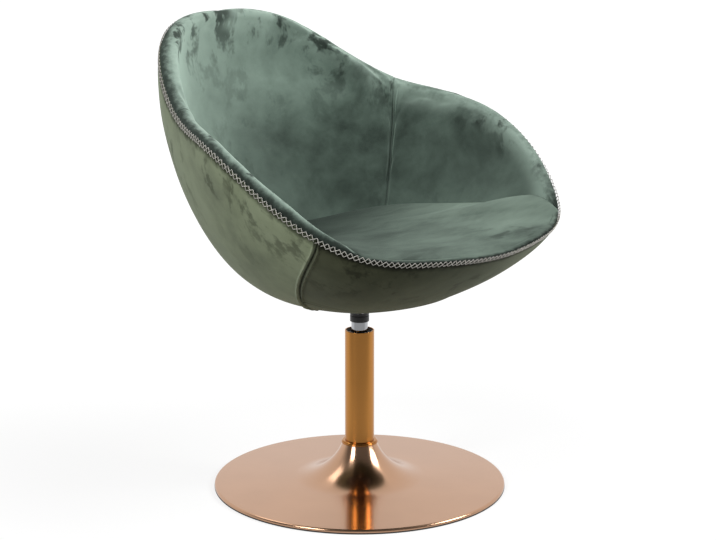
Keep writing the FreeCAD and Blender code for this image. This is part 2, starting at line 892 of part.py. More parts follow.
def wall_point(angle, t, depth, lift=0.0):
    """Point at a depth inside the outer profile, lifted along it by a distance."""
    point, up, inward = wall_frame(angle, t)
    return tuple(point[i] + depth * inward[i] + lift * up[i] for i in (0, 1))


def placed(angle, point):
    """Space point of a pair of radius and height in the half plane at an angle."""
    turn = math.radians(angle)
    return Vector(point[0] * math.sin(turn), -point[0] * math.cos(turn), point[1])


def steps(first, last, count):
    """Evenly spaced numbers from first to last."""
    return [first + (last - first) * i / (count - 1) for i in range(count)]


def wall_run(angle, depth, first, last):
    """Points along the wall at a depth, from one share of the profile to another."""
    return [wall_point(angle, t, depth) for t in steps(first, last, WALL_SAMPLES)]


def top_share(angle):
    """Share of the profile where cover and shell end, one layer gap below the seam."""
    poles = profile_poles(angle)
    return 1.0 - size("layer_gap") / (3.0 * math.dist(poles[2], poles[3]))


def pad_depth(angle):
    """Depth of the padding's inner face: full at the arms and back, thin at the front."""
    from_front = abs((angle + 180.0) % 360.0 - 180.0)
    arm_end = size("arm_end_angle")
    share = (from_front - arm_end) / (size("arm_full_angle") - arm_end)
    share = min(max(share, 0.0), 1.0)
    ease = share**2 * (3.0 - 2.0 * share)
    return size("pad_depth_front") + ease * (size("pad_depth") - size("pad_depth_front"))


def shell_outer_depth():
    """Depth of the moulded shell's outer face."""
    return size("cover_thickness") + size("layer_gap")


def shell_inner_depth():
    """Depth of the moulded shell's inner face."""
    return shell_outer_depth() + size("shell_thickness")


# Surfaces through rows of points


def spline(points, slopes=None):
    """Curve through points at even parameters; two points give a straight line."""
    curve = Part.BSplineCurve()
    if len(points) == 2:
        curve.buildFromPolesMultsKnots(points, [2, 2], [0.0, 1.0], False, 1)
        return curve
    even = steps(0.0, 1.0, len(points))
    if slopes is None:
        curve.interpolate(Points=points, Parameters=even)
    else:
        curve.interpolate(
            Points=points,
            Parameters=even,
            InitialTangent=slopes[0],
            FinalTangent=slopes[1],
            Scale=False,
        )
    return curve


def skin(row, stations):
    """Face through the rows that a function gives at each station, smooth across its ends."""
    profiles = [spline(row(station)) for station in stations]
    span = stations[-1] - stations[0]
    step = SLOPE_STEP * span / 100.0

    def slope(station):
        ahead = spline(row(station + step)).getPoles()
        behind = spline(row(station - step)).getPoles()
        return [(a - b) * (span / (2.0 * step)) for a, b in zip(ahead, behind)]

    nets = [profile.getPoles() for profile in profiles]
    ends = list(zip(slope(stations[0]), slope(stations[-1])))
    lines = [spline([net[k] for net in nets], ends[k]) for k in range(len(ends))]
    poles = [list(column) for column in zip(*(line.getPoles() for line in lines))]
    surface = Part.BSplineSurface()
    surface.buildFromPolesMultsKnots(
        poles,
        lines[0].getMultiplicities(),
        profiles[0].getMultiplicities(),
        lines[0].getKnots(),
        profiles[0].getKnots(),
        False,
        False,
        lines[0].Degree,
        profiles[0].Degree,
    )
    return surface.toShape()


def flat_face(sides):
    """Flat face inside a closed chain of curves through rows of points."""
    return Part.Face(Part.Wire([spline(side).toShape() for side in sides]))


def sewn(faces):
    """Solid inside a closed set of faces that share their edges."""
    shell = Part.makeShell(faces)
    shell.sewShape()
    solid = Part.makeSolid(shell)
    if solid.Volume < 0:
        solid.reverse()
    return solid


def station_count(span):
    """Number of sections that a span of degrees needs."""
    return math.ceil(span / STATION_STEP) + 1


def swept(section, first, last):
    """Solid whose section in the half plane changes smoothly from one angle to another."""
    stations = steps(first, last, station_count(last - first))
    sides = len(section(first))

    def row(number):
        return lambda angle: [placed(angle, point) for point in section(angle)[number]]

    faces = [skin(row(number), stations) for number in range(sides)]
    for angle in (first, last):
        faces.append(flat_face([row(number)(angle) for number in range(sides)]))
    return sewn(faces)


def turned_ring(section):
    """Closed solid about the upright axis: its open section starts and ends on flat discs."""
    faces = []
    sides = len(section(0.0))
    count = station_count(180.0)

    def row(number):
        return lambda angle: [placed(angle, point) for point in section(angle)[number]]

    halves = (steps(0.0, 180.0, count), steps(180.0, 360.0, count))
    for stations in halves:
        faces.extend(skin(row(number), stations) for number in range(sides))
    for number, end in ((0, 0), (sides - 1, -1)):
        rims = []
        for stations in halves:
            line = skin_edge(row(number), stations, end)
            rims.append(line.toShape())
        faces.append(Part.Face(Part.Wire(rims)))
    return sewn(faces)


def skin_edge(row, stations, end):
    """Curve that a skin's first or last points draw over its stations."""
    span = stations[-1] - stations[0]
    step = SLOPE_STEP * span / 100.0

    def slope(station):
        return (row(station + step)[end] - row(station - step)[end]) * (span / (2.0 * step))

    points = [row(station)[end] for station in stations]
    return spline(points, (slope(stations[0]), slope(stations[-1])))


def soft_node(label, shape):
    """Node that holds a finished shape."""
    node = doc.addObject("Part::Feature", label)
    node.Label = label
    node.Shape = shape
    return node


# Layers of the bucket


def pad_section(angle):
    """Section of the padding: up the shell, over its rim, round the roll and down inside."""
    back = shell_inner_depth() + size("soft_gap")
    inner = pad_depth(angle)
    foot = size("pad_foot")
    rise = wall_run(angle, back, foot, 1.0)
    land = [wall_point(angle, 1.0, back), wall_point(angle, 1.0, 0.0)]
    half = inner / 2.0
    roll = []
    for turn in steps(0.0, math.pi, ROLL_SAMPLES):
        roll.append(
            wall_point(angle, 1.0, half - half * math.cos(turn), half * math.sin(turn))
        )
    fall = wall_run(angle, inner, 1.0, foot)
    heel = [wall_point(angle, foot, inner), wall_point(angle, foot, back)]
    return rise, land, roll, fall, heel


def padding():
    """Padding of the bucket: back, two arms and the low roll along the front edge."""
    cut = math.degrees(size("soft_gap") / 2.0 / size("rim_radius_90"))
    arm = size("arm_end_angle")
    seam = size("back_seam_angle")
    spans = {
        "back_pad": (seam + cut, 360.0 - seam - cut),
        "left_arm_pad": (arm + cut, seam - cut),
        "right_arm_pad": (360.0 - seam + cut, 360.0 - arm - cut),
        "front_edge_roll": (-arm + cut, arm - cut),
    }
    return [soft_node(name, swept(pad_section, *span)) for name, span in spans.items()]


def shell_section(angle):
    """Section of the moulded shell, from the middle of its foot to the middle of its floor."""
    outer = shell_outer_depth()
    inner = shell_inner_depth()
    foot = size("foot_height")
    pad_edge = size("shell_pad_radius")
    draft = pad_edge + size("shell_pad_draft")
    top = top_share(angle)
    return (
        [(pad_edge, foot), (draft, foot + outer)],
        [(draft, foot + outer), (size("foot_radius"), foot + outer)],
        wall_run(angle, outer, 0.0, top),
        [wall_point(angle, top, outer), wall_point(angle, top, inner)],
        wall_run(angle, inner, top, 0.0),
    )


def bucket_shell():
    """Moulded shell that gives the bucket its form, drilled for the plate bolts."""
    shape = turned_ring(shell_section)
    foot = size("foot_height")
    hole = size("plate_bolt_radius") + size("bolt_hole_clearance")
    depth = shell_inner_depth()
    for i in range(BOLTS_PER_RING):
        turn = math.radians(45.0 + 360.0 * i / BOLTS_PER_RING)
        reach = size("plate_bolt_circle")
        at = Vector(reach * math.cos(turn), reach * math.sin(turn), foot)
        shape = shape.cut(Part.makeCylinder(hole, depth, at))
    return soft_node("bucket_shell", shape)


def seam_angle(t):
    """Angle of the side seam at a share of the profile: upright at the rim, swept aft below."""
    sweep = size("side_seam_sweep") * (1.0 - t) ** size("side_seam_curve")
    return size("side_seam_angle") + sweep


def cover_panel(first, last):
    """Panel of the outer cover between two seams given as angles over the profile."""
    inner = size("cover_thickness")
    widest = max(last(t) - first(t) for t in (0.0, 1.0))

    def angle_at(share, t):
        return first(t) + share * (last(t) - first(t))

    def wall(depth):
        def row(share):
            points = []
            for t in steps(0.0, 1.0, WALL_SAMPLES):
                angle = angle_at(share, t)
                points.append(placed(angle, wall_point(angle, t * top_share(angle), depth)))
            return points

        return row

    outside = wall(0.0)
    inside = wall(inner)
    stations = steps(0.0, 1.0, station_count(widest))

    def hem(end):
        return lambda share: [outside(share)[end], inside(share)[end]]

    faces = [skin(outside, stations), skin(inside, stations)]
    faces += [skin(hem(0), stations), skin(hem(-1), stations)]
    faces += [seam_face(outside(share), inside(share)) for share in (0.0, 1.0)]
    return sewn(faces)


def seam_face(outside, inside):
    """Narrow face between two curves of the same number of points."""
    outer = spline(outside)
    poles = [list(pair) for pair in zip(outer.getPoles(), spline(inside).getPoles())]
    surface = Part.BSplineSurface()
    surface.buildFromPolesMultsKnots(
        poles,
        outer.getMultiplicities(),
        [2, 2],
        outer.getKnots(),
        [0.0, 1.0],
        False,
        False,
        outer.Degree,
        1,
    )
    return surface.toShape()


def outer_covers():
    """Front and rear panels of the outer cover, which meet at the side seams."""
    cut = math.degrees(size("soft_gap") / 2.0 / size("rim_radius_90"))

    def near(t):
        return seam_angle(t) - cut

    def far(t):
        return seam_angle(t) + cut

    front = cover_panel(lambda t: -near(t), near)
    rear = cover_panel(far, lambda t: 360.0 - far(t))
    return [soft_node("front_cover", front), soft_node("rear_cover", rear)]


def seat_share(angle, depth):
    """Share of the profile at which the wall reaches the seat's edge height."""
    low, high = size("seat_wall_foot"), 1.0
    for _ in range(40):
        middle = (low + high) / 2.0
        if wall_point(angle, middle, depth)[1] < seat_edge(angle):
            low = middle
        else:
            high = middle
    return low


def seat_section(angle):
    """Section of the seat cushion, from its flat underside to the flat in the middle of its top."""
    depth = pad_depth(angle) + size("soft_gap")
    base = value(board_top()) + size("soft_gap")
    foot = size("seat_wall_foot")
    share = seat_share(angle, depth)
    _, up, _ = wall_frame(angle, share)
    edge = wall_point(angle, share, depth)
    flat = size("seat_flat_radius")
    pitch = size("seat_slope") * math.cos(math.radians(angle))
    middle = (flat, size("seat_centre_height") + pitch * flat)
    reach = size("seat_crown_reach") * (edge[0] - flat)
    roundness = size("seat_edge_roundness")
    poles = (
        edge,
        (edge[0] + roundness * up[0], edge[1] + roundness * up[1]),
        (middle[0] + reach, middle[1] + pitch * reach),
        middle,
    )
    top = []
    for t in steps(0.0, 1.0, WALL_SAMPLES):
        rest = 1.0 - t
        weights = (rest**3, 3 * rest**2 * t, 3 * rest * t**2, t**3)
        top.append(tuple(sum(w * pole[i] for w, pole in zip(weights, poles)) for i in (0, 1)))
    return (
        [(size("board_radius"), base), wall_point(angle, foot, depth)],
        wall_run(angle, depth, foot, share),
        top,
    )


def seat_cushion():
    """Seat cushion: crowned, with drawn-in sides that follow the padding."""
    return soft_node("seat_cushion", turned_ring(seat_section))


def build():
    """Make every piece and return the objects that are kept."""
    nodes = [
        base_disc(),
        base_edge_ring(),
        ballast_plate(),
        column_flange(),
        foot_bolts(),
        column_tube(),
        column_foot_ring(),
        column_floor_plate(),
        guide_bush(),
        race("lower_race", FLOOR_TOP),
        race("upper_race", UPPER_RACE),
        bearing_cage(),
        bearing_balls(),
        spindle_tube(),
        spindle_rod(),
        stop_washer(),
        retaining_clip(),
        spindle_socket(),
        mount_plate(),
        plate_bolts(),
        plate_washers(),
        tee_nuts(),
        seat_board(),
        dust_cover(),
        bucket_shell(),
        *padding(),
        *outer_covers(),
        seat_cushion(),
    ]
    doc.recompute()
    return nodes


def check(nodes):
    """Stop on any failed object or bad shape."""
    for item in doc.Objects:
        if "Invalid" in item.State or "Error" in item.State:
            raise RuntimeError(f"{item.Name} failed: {item.State}")
    for node in nodes:
        if node.Shape.isNull() or not node.Shape.isValid():
            raise RuntimeError(f"{node.Label} has a bad shape")
        if any(solid.Volume <= 0 for solid in node.Shape.Solids) or not node.Shape.Solids:
            raise RuntimeError(f"{node.Label} holds no solid")


def main():
    """Build, check and write one STEP file for each node."""
    nodes = build()
    check(nodes)
    os.makedirs("parts", exist_ok=True)
    for node in nodes:
        node.Shape.exportStep(f"parts/{node.Label}.step")
        box = node.Shape.BoundBox
        print(
            f"{node.Label:20s} {len(node.Shape.Solids)} solids,"
            f" {box.XLength:.1f} x {box.YLength:.1f} x {box.ZLength:.1f}"
        )


main()
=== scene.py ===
"""Looks of the pedestal swivel armchair: velvet bucket, cross-stitched rim and copper foot.

All sizes are in metres.  The front faces -Y, the sitter's right is -X and +Z is up.  Angles
round the bucket are in degrees from the front.
"""
import json
import logging
import math
from dataclasses import dataclass
from enum import Enum
from typing import Callable, Optional, Sequence

import bmesh
import bpy
import numpy as np
from mathutils import Matrix, Vector, noise


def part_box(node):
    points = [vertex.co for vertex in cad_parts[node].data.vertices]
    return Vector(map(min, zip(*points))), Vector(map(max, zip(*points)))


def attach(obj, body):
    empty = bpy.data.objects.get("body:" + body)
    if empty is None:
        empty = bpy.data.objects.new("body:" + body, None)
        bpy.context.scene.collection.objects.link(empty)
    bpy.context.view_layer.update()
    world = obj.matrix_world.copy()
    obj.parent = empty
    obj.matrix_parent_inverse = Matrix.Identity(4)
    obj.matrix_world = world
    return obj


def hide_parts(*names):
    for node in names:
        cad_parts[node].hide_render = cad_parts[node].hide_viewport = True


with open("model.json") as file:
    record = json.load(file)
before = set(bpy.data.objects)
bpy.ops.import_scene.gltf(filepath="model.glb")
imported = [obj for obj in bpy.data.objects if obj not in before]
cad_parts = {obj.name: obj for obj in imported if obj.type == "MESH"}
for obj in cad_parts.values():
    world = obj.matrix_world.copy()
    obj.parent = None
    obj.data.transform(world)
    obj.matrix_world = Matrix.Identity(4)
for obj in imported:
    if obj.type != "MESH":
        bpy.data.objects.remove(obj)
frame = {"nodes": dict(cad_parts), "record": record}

log = logging.getLogger("armchair")

Colour = tuple[float, float, float]
Pair = tuple[float, float]
Array = np.ndarray
Piece = bpy.types.Object
Socket = bpy.types.NodeSocket


class Body(str, Enum):
    """Bodies that pieces ride on."""

    BASE = "base"
    SEAT = "seat"


class Nap(Enum):
    """Velvet pieces, each with its own colours and its lie of the pile, which sets which way it
    streaks.  The front cover's colours are painted shade: a darker copy of the rear cover's.
    """

    PADDING = "padding"
    SEAT = "seat"
    REAR_COVER = "rear cover"
    FRONT_COVER_SHADED = "front cover"


# Numbers


def smooth_step(value: Array) -> Array:
    """Ease a share from 0 to 1 with level ends."""
    share = np.clip(value, 0.0, 1.0)
    return share * share * (3.0 - 2.0 * share)


def bell(distance: Array, width: float) -> Array:
    """Bell curve of a distance: 1 at zero, close to 0 past two widths."""
    return np.exp(-np.square(np.asarray(distance) / width))


def graded(
    length: float, pitch: float, fine: float, first: bool, last: bool,
    zone: float = 0.0064, growth: float = 1.22, lead_share: float = 0.4,
) -> Array:
    """Places along a run, closer together towards the ends that carry a seam.

    Args:
        length: length of the run.
        pitch: spacing in the middle.
        fine: spacing at a seam.
        first: whether the start carries a seam.
        last: whether the end carries a seam.
        zone: width beside a seam that keeps the fine spacing.
        growth: ratio of each step past the zone to the one before it.
        lead_share: most of the length that one end's growing steps take.

    Returns:
        Shares from 0 to 1.
    """
    def lead() -> list[float]:
        places = [i * fine for i in range(int(zone / fine) + 1)]
        step = fine
        while step < pitch and places[-1] < lead_share * length:
            step *= growth
            places.append(places[-1] + step)
        return places

    head = lead() if first else [0.0]
    tail = [length - place for place in reversed(lead())] if last else [length]
    count = max(2, int(round((tail[0] - head[-1]) / pitch)) + 1)
    middle = np.linspace(head[-1], tail[0], count)
    places = np.concatenate([head[:-1], middle, tail[1:]])
    return places / length


@dataclass(frozen=True)
class CosineSeries:
    """Smooth even function of the angle through values spaced evenly from front to back."""

    values: tuple[float, ...]

    def at(self, angle: Array) -> Array:
        """Value at angles in degrees."""
        last = len(self.values) - 1
        share = np.array([0.5 if i in (0, last) else 1.0 for i in range(last + 1)])
        turn = np.radians(np.asarray(angle, float))
        total = np.zeros_like(turn)
        for k in range(last + 1):
            waves = np.cos(math.pi * k * np.arange(last + 1) / last)
            term = 2.0 / last * share[k] * float(np.sum(share * self.values * waves))
            total = total + term * np.cos(k * turn)
        return total


@dataclass(frozen=True)
class BucketForm:
    """Form of the bucket: an outer profile in each half plane and depths measured inside it."""

    foot_radius: float = 0.093
    foot_height: float = 0.332
    rim_radius: CosineSeries = CosineSeries((0.297, 0.3185, 0.351, 0.338, 0.3135, 0.340, 0.347))
    rim_height: CosineSeries = CosineSeries((0.445, 0.455, 0.504, 0.6155, 0.6565, 0.7515, 0.785))
    rim_lean: CosineSeries = CosineSeries((51.0, 87.0, 106.0))
    lower_pull: CosineSeries = CosineSeries((0.26, 0.39, 0.41))
    upper_pull: CosineSeries = CosineSeries((0.30, 0.185, 0.17))
    pad_depth_full: float = 0.029
    pad_depth_front: float = 0.016
    arm_end: float = 48.0
    arm_full: float = 70.0
    arm_round: float = 9.0
    back_seam: float = 119.0
    side_seam: float = 59.3
    side_seam_sweep: float = 29.3
    side_seam_curve: float = 1.52
    shell_back: float = 0.0107
    seat_edge: CosineSeries = CosineSeries((0.453, 0.460, 0.467, 0.452, 0.4395, 0.419, 0.413))

    def profile(self, angle: Array, share: Array) -> tuple[Array, Array, Array]:
        """Outer profile at angles and shares of its length.

        Args:
            angle: degrees from the front.
            share: 0 at the foot to 1 at the rim.

        Returns:
            The points, the upward directions and the inward normals, as pairs of radius and height.
        """
        angle, share = np.broadcast_arrays(np.asarray(angle, float), np.asarray(share, float))
        rim = np.stack([self.rim_radius.at(angle), self.rim_height.at(angle)], -1)
        foot = np.broadcast_to(np.array([self.foot_radius, self.foot_height]), rim.shape)
        length = np.linalg.norm(rim - foot, axis=-1)
        lean = np.radians(self.rim_lean.at(angle))
        low = foot + np.stack([self.lower_pull.at(angle) * length, np.zeros_like(length)], -1)
        high = self.upper_pull.at(angle) * length
        top = rim - np.stack([high * np.cos(lean), high * np.sin(lean)], -1)
        t = share[..., None]
        rest = 1.0 - t
        point = rest**3 * foot + 3 * rest**2 * t * low + 3 * rest * t**2 * top + t**3 * rim
        along = (
            3 * rest**2 * (low - foot) + 6 * rest * t * (top - low) + 3 * t**2 * (rim - top)
        )
        up = along / np.linalg.norm(along, axis=-1, keepdims=True)
        inward = np.stack([-up[..., 1], up[..., 0]], -1)
        return point, up, inward

    def wall(self, angle: Array, share: Array, depth: Array, lift: Array = 0.0) -> Array:
        """Points inside the outer profile by a depth, lifted along it, as radius and height."""
        point, up, inward = self.profile(angle, share)
        return point + np.asarray(depth)[..., None] * inward + np.asarray(lift)[..., None] * up

    @staticmethod
    def placed(angle: Array, pair: Array) -> Array:
        """Space points of pairs of radius and height in the half planes at angles."""
        turn = np.radians(np.broadcast_to(np.asarray(angle, float), pair.shape[:-1]))
        return np.stack(
            [pair[..., 0] * np.sin(turn), -pair[..., 0] * np.cos(turn), pair[..., 1]], -1
        )

    @staticmethod
    def from_front(angle: Array) -> Array:
        """Unsigned angle from the front, 0 to 180."""
        return np.abs((np.asarray(angle, float) + 180.0) % 360.0 - 180.0)

    def pad_depth(self, angle: Array) -> Array:
        """Depth of the padding's inner face, thin at the front and full at arms and back."""
        share = (self.from_front(angle) - self.arm_end) / (self.arm_full - self.arm_end)
        return self.pad_depth_front + smooth_step(share) * (
            self.pad_depth_full - self.pad_depth_front
        )

    def roll_depth(self, angle: Array) -> Array:
        """Depth of the rolled rim, which rounds off to nothing where the arms end."""
        rest = 1.0 - np.clip((self.from_front(angle) - self.arm_end) / self.arm_round, 0.0, 1.0)
        return self.pad_depth(angle) * np.sqrt(np.clip(1.0 - rest * rest, 0.0, 1.0))

    def seam_angle(self, share: Array) -> Array:
        """Angle of the side seam at a share of the profile."""
        rest = 1.0 - np.asarray(share, float)
        return self.side_seam + self.side_seam_sweep * rest**self.side_seam_curve

    def wall_share(self, angle: float, depth: float, height: float) -> float:
        """Share of the profile at which the wall at a depth reaches a height."""
        low, high = 0.12, 1.0
        for _ in range(32):
            middle = (low + high) / 2.0
            if float(self.wall(angle, middle, np.array(depth))[..., 1]) < height:
                low = middle
            else:
                high = middle
        return low


FORM = BucketForm()


# Meshes


def linked(name: str, data: bpy.types.ID) -> Piece:
    """New object of a mesh, lamp or camera, linked to the scene."""
    made = bpy.data.objects.new(name, data)
    bpy.context.scene.collection.objects.link(made)
    return made


def finished_mesh(
    name: str,
    points: Array,
    faces: Sequence[Sequence[int]],
    attributes: Optional[dict[str, Array]] = None,
    sharp: Optional[float] = None,
) -> Piece:
    """Make a mesh object with smooth faces that point outwards.

    Args:
        name: name of the piece.
        points: vertex places.
        faces: vertex numbers of each face.
        attributes: a number for each vertex, by name.
        sharp: angle in degrees past which an edge stays sharp.

    Returns:
        The object, linked to the scene.
    """
    mesh = bpy.data.meshes.new(name)
    mesh.from_pydata([tuple(map(float, p)) for p in points], [], [tuple(f) for f in faces])
    work = bmesh.new()
    work.from_mesh(mesh)
    bmesh.ops.recalc_face_normals(work, faces=work.faces)
    work.to_mesh(mesh)
    work.free()
    for key, values in (attributes or {}).items():
        layer = mesh.attributes.new(key, "FLOAT", "POINT")
        layer.data.foreach_set("value", np.asarray(values, np.float32))
    mesh.shade_smooth()
    if sharp is not None:
        mesh.set_sharp_from_angle(angle=math.radians(sharp))
    mesh.update()
    return linked(name, mesh)


def loop_faces(stations: int, count: int, joined: bool) -> list[tuple[int, ...]]:
    """Faces of closed sections set side by side.

    Args:
        stations: number of sections.
        count: points in a section.
        joined: whether the last section joins the first; otherwise both ends are capped.

    Returns:
        Vertex numbers of each face.
    """
    faces: list[tuple[int, ...]] = []
    for i in range(stations if joined else stations - 1):
        j = (i + 1) % stations
        for k in range(count):
            after = (k + 1) % count
            faces.append(
                (i * count + k, i * count + after, j * count + after, j * count + k)
            )
    if not joined:
        faces.append(tuple(range(count)))
        faces.append(tuple((stations - 1) * count + k for k in reversed(range(count))))
    return faces


def slab_faces(rows: int, columns: int) -> list[tuple[int, ...]]:
    """Faces of a thin closed sheet: an outer grid, an inner grid and the rims between them."""
    inner = rows * columns
    faces: list[tuple[int, ...]] = []
    for i in range(rows - 1):
        for k in range(columns - 1):
            a, b = i * columns + k, (i + 1) * columns + k
            faces.append((a, a + 1, b + 1, b))
            faces.append((inner + a, inner + b, inner + b + 1, inner + a + 1))
    border = [k for k in range(columns)]
    border += [i * columns + columns - 1 for i in range(1, rows)]
    border += [(rows - 1) * columns + k for k in range(columns - 2, -1, -1)]
    border += [i * columns for i in range(rows - 2, 0, -1)]
    for a, b in zip(border, border[1:] + border[:1]):
        faces.append((a, b, inner + b, inner + a))
    return faces


def lathe(name: str, outline: Sequence[Pair], segments: int = 192) -> Piece:
    """Turned piece of a closed outline given as radius and height."""
    pairs = np.array(outline, float)
    turns = np.linspace(0.0, 2.0 * math.pi, segments, endpoint=False)
    rings = [
        np.stack([pairs[:, 0] * math.cos(a), pairs[:, 0] * math.sin(a), pairs[:, 1]], -1)
        for a in turns
    ]
    points = np.concatenate(rings)
    return finished_mesh(name, points, loop_faces(segments, len(pairs), True), sharp=40.0)


def rounded(corners: Sequence[tuple[float, float, float]], pieces: int = 4) -> list[Pair]:
    """Closed outline with rounded corners.

    Args:
        corners: radius, height and fillet of each corner.
        pieces: straight pieces in each fillet.

    Returns:
        Points of the outline.
    """
    outline: list[Pair] = []
    count = len(corners)
    for i, (x, y, fillet) in enumerate(corners):
        here = np.array([x, y])
        if fillet <= 0.0:
            outline.append((x, y))
            continue
        before = np.array(corners[i - 1][:2]) - here
        after = np.array(corners[(i + 1) % count][:2]) - here
        a, b = before / np.linalg.norm(before), after / np.linalg.norm(after)
        half = math.acos(float(np.clip(np.dot(a, b), -1.0, 1.0))) / 2.0
        reach = min(fillet / math.tan(half), 0.45 * np.linalg.norm(before))
        reach = min(reach, 0.45 * np.linalg.norm(after))
        start, end = here + a * reach, here + b * reach
        for t in np.linspace(0.0, 1.0, pieces + 1):
            p = (1 - t) ** 2 * start + 2 * t * (1 - t) * here + t**2 * end
            outline.append((float(p[0]), float(p[1])))
    return outline


def vertex_normals(piece: Piece) -> Array:
    """Normals of a mesh's vertices."""
    found = np.zeros(len(piece.data.vertices) * 3, np.float32)
    piece.data.vertex_normals.foreach_get("vector", found)
    return found.reshape(-1, 3)


def mesh_points(piece: Piece) -> Array:
    """Places of a mesh's vertices."""
    found = np.zeros(len(piece.data.vertices) * 3, np.float32)
    piece.data.vertices.foreach_get("co", found)
    return found.reshape(-1, 3)


def set_points(piece: Piece, points: Array) -> None:
    """Write places back to a mesh's vertices."""
    piece.data.vertices.foreach_set("co", np.asarray(points, np.float32).ravel())
    piece.data.update()


def roughen(piece: Piece, normals: Array, height: float, pitch: float) -> None:
    """Move a mesh's vertices along normals by a gentle fixed unevenness."""
    points = mesh_points(piece)
    moved = points.copy()
    for i, (point, normal) in enumerate(zip(points, normals)):
        moved[i] = point + normal * (height * noise.noise(Vector(point) / pitch))
    set_points(piece, moved)


@dataclass(frozen=True)
class Stuffing:
    """Foam that fills a sewn cover, simulated as cloth under pressure."""

    pressure: float = 4.0
    tension: float = 18.0
    bending: float = 2.0
    frames: int = 20
    quality: int = 5
    most: float = 0.004

    def fill(self, piece: Piece, held: Array) -> None:
        """Swell a closed piece between its seams.

        Args:
            piece: closed mesh.
            held: 1 where a vertex is sewn or rests on the shell, 0 where it is free.
        """
        before = mesh_points(piece)
        group = piece.vertex_groups.new(name="sewn")
        for i in np.nonzero(held > 0.001)[0]:
            group.add([int(i)], float(held[i]), "REPLACE")
        cloth = piece.modifiers.new("stuffing", "CLOTH")
        settings = cloth.settings
        settings.use_pressure = True
        settings.uniform_pressure_force = self.pressure
        settings.tension_stiffness = self.tension
        settings.compression_stiffness = self.tension
        settings.bending_stiffness = self.bending
        settings.vertex_group_mass = group.name
        settings.effector_weights.gravity = 0.0
        settings.quality = self.quality
        cloth.collision_settings.use_collision = False
        cloth.point_cache.frame_start = 1
        cloth.point_cache.frame_end = self.frames
        scene = bpy.context.scene
        for number in range(1, self.frames + 1):
            scene.frame_set(number)
        solved = piece.evaluated_get(bpy.context.evaluated_depsgraph_get())
        after = mesh_points(solved)
        scene.frame_set(1)
        piece.modifiers.remove(cloth)
        piece.vertex_groups.remove(group)
        move = after - before
        reach = np.linalg.norm(move, axis=1, keepdims=True)
        scale = self.most * np.tanh(reach / self.most) / np.maximum(reach, 1e-9)
        set_points(piece, before + move * scale)


# Materials


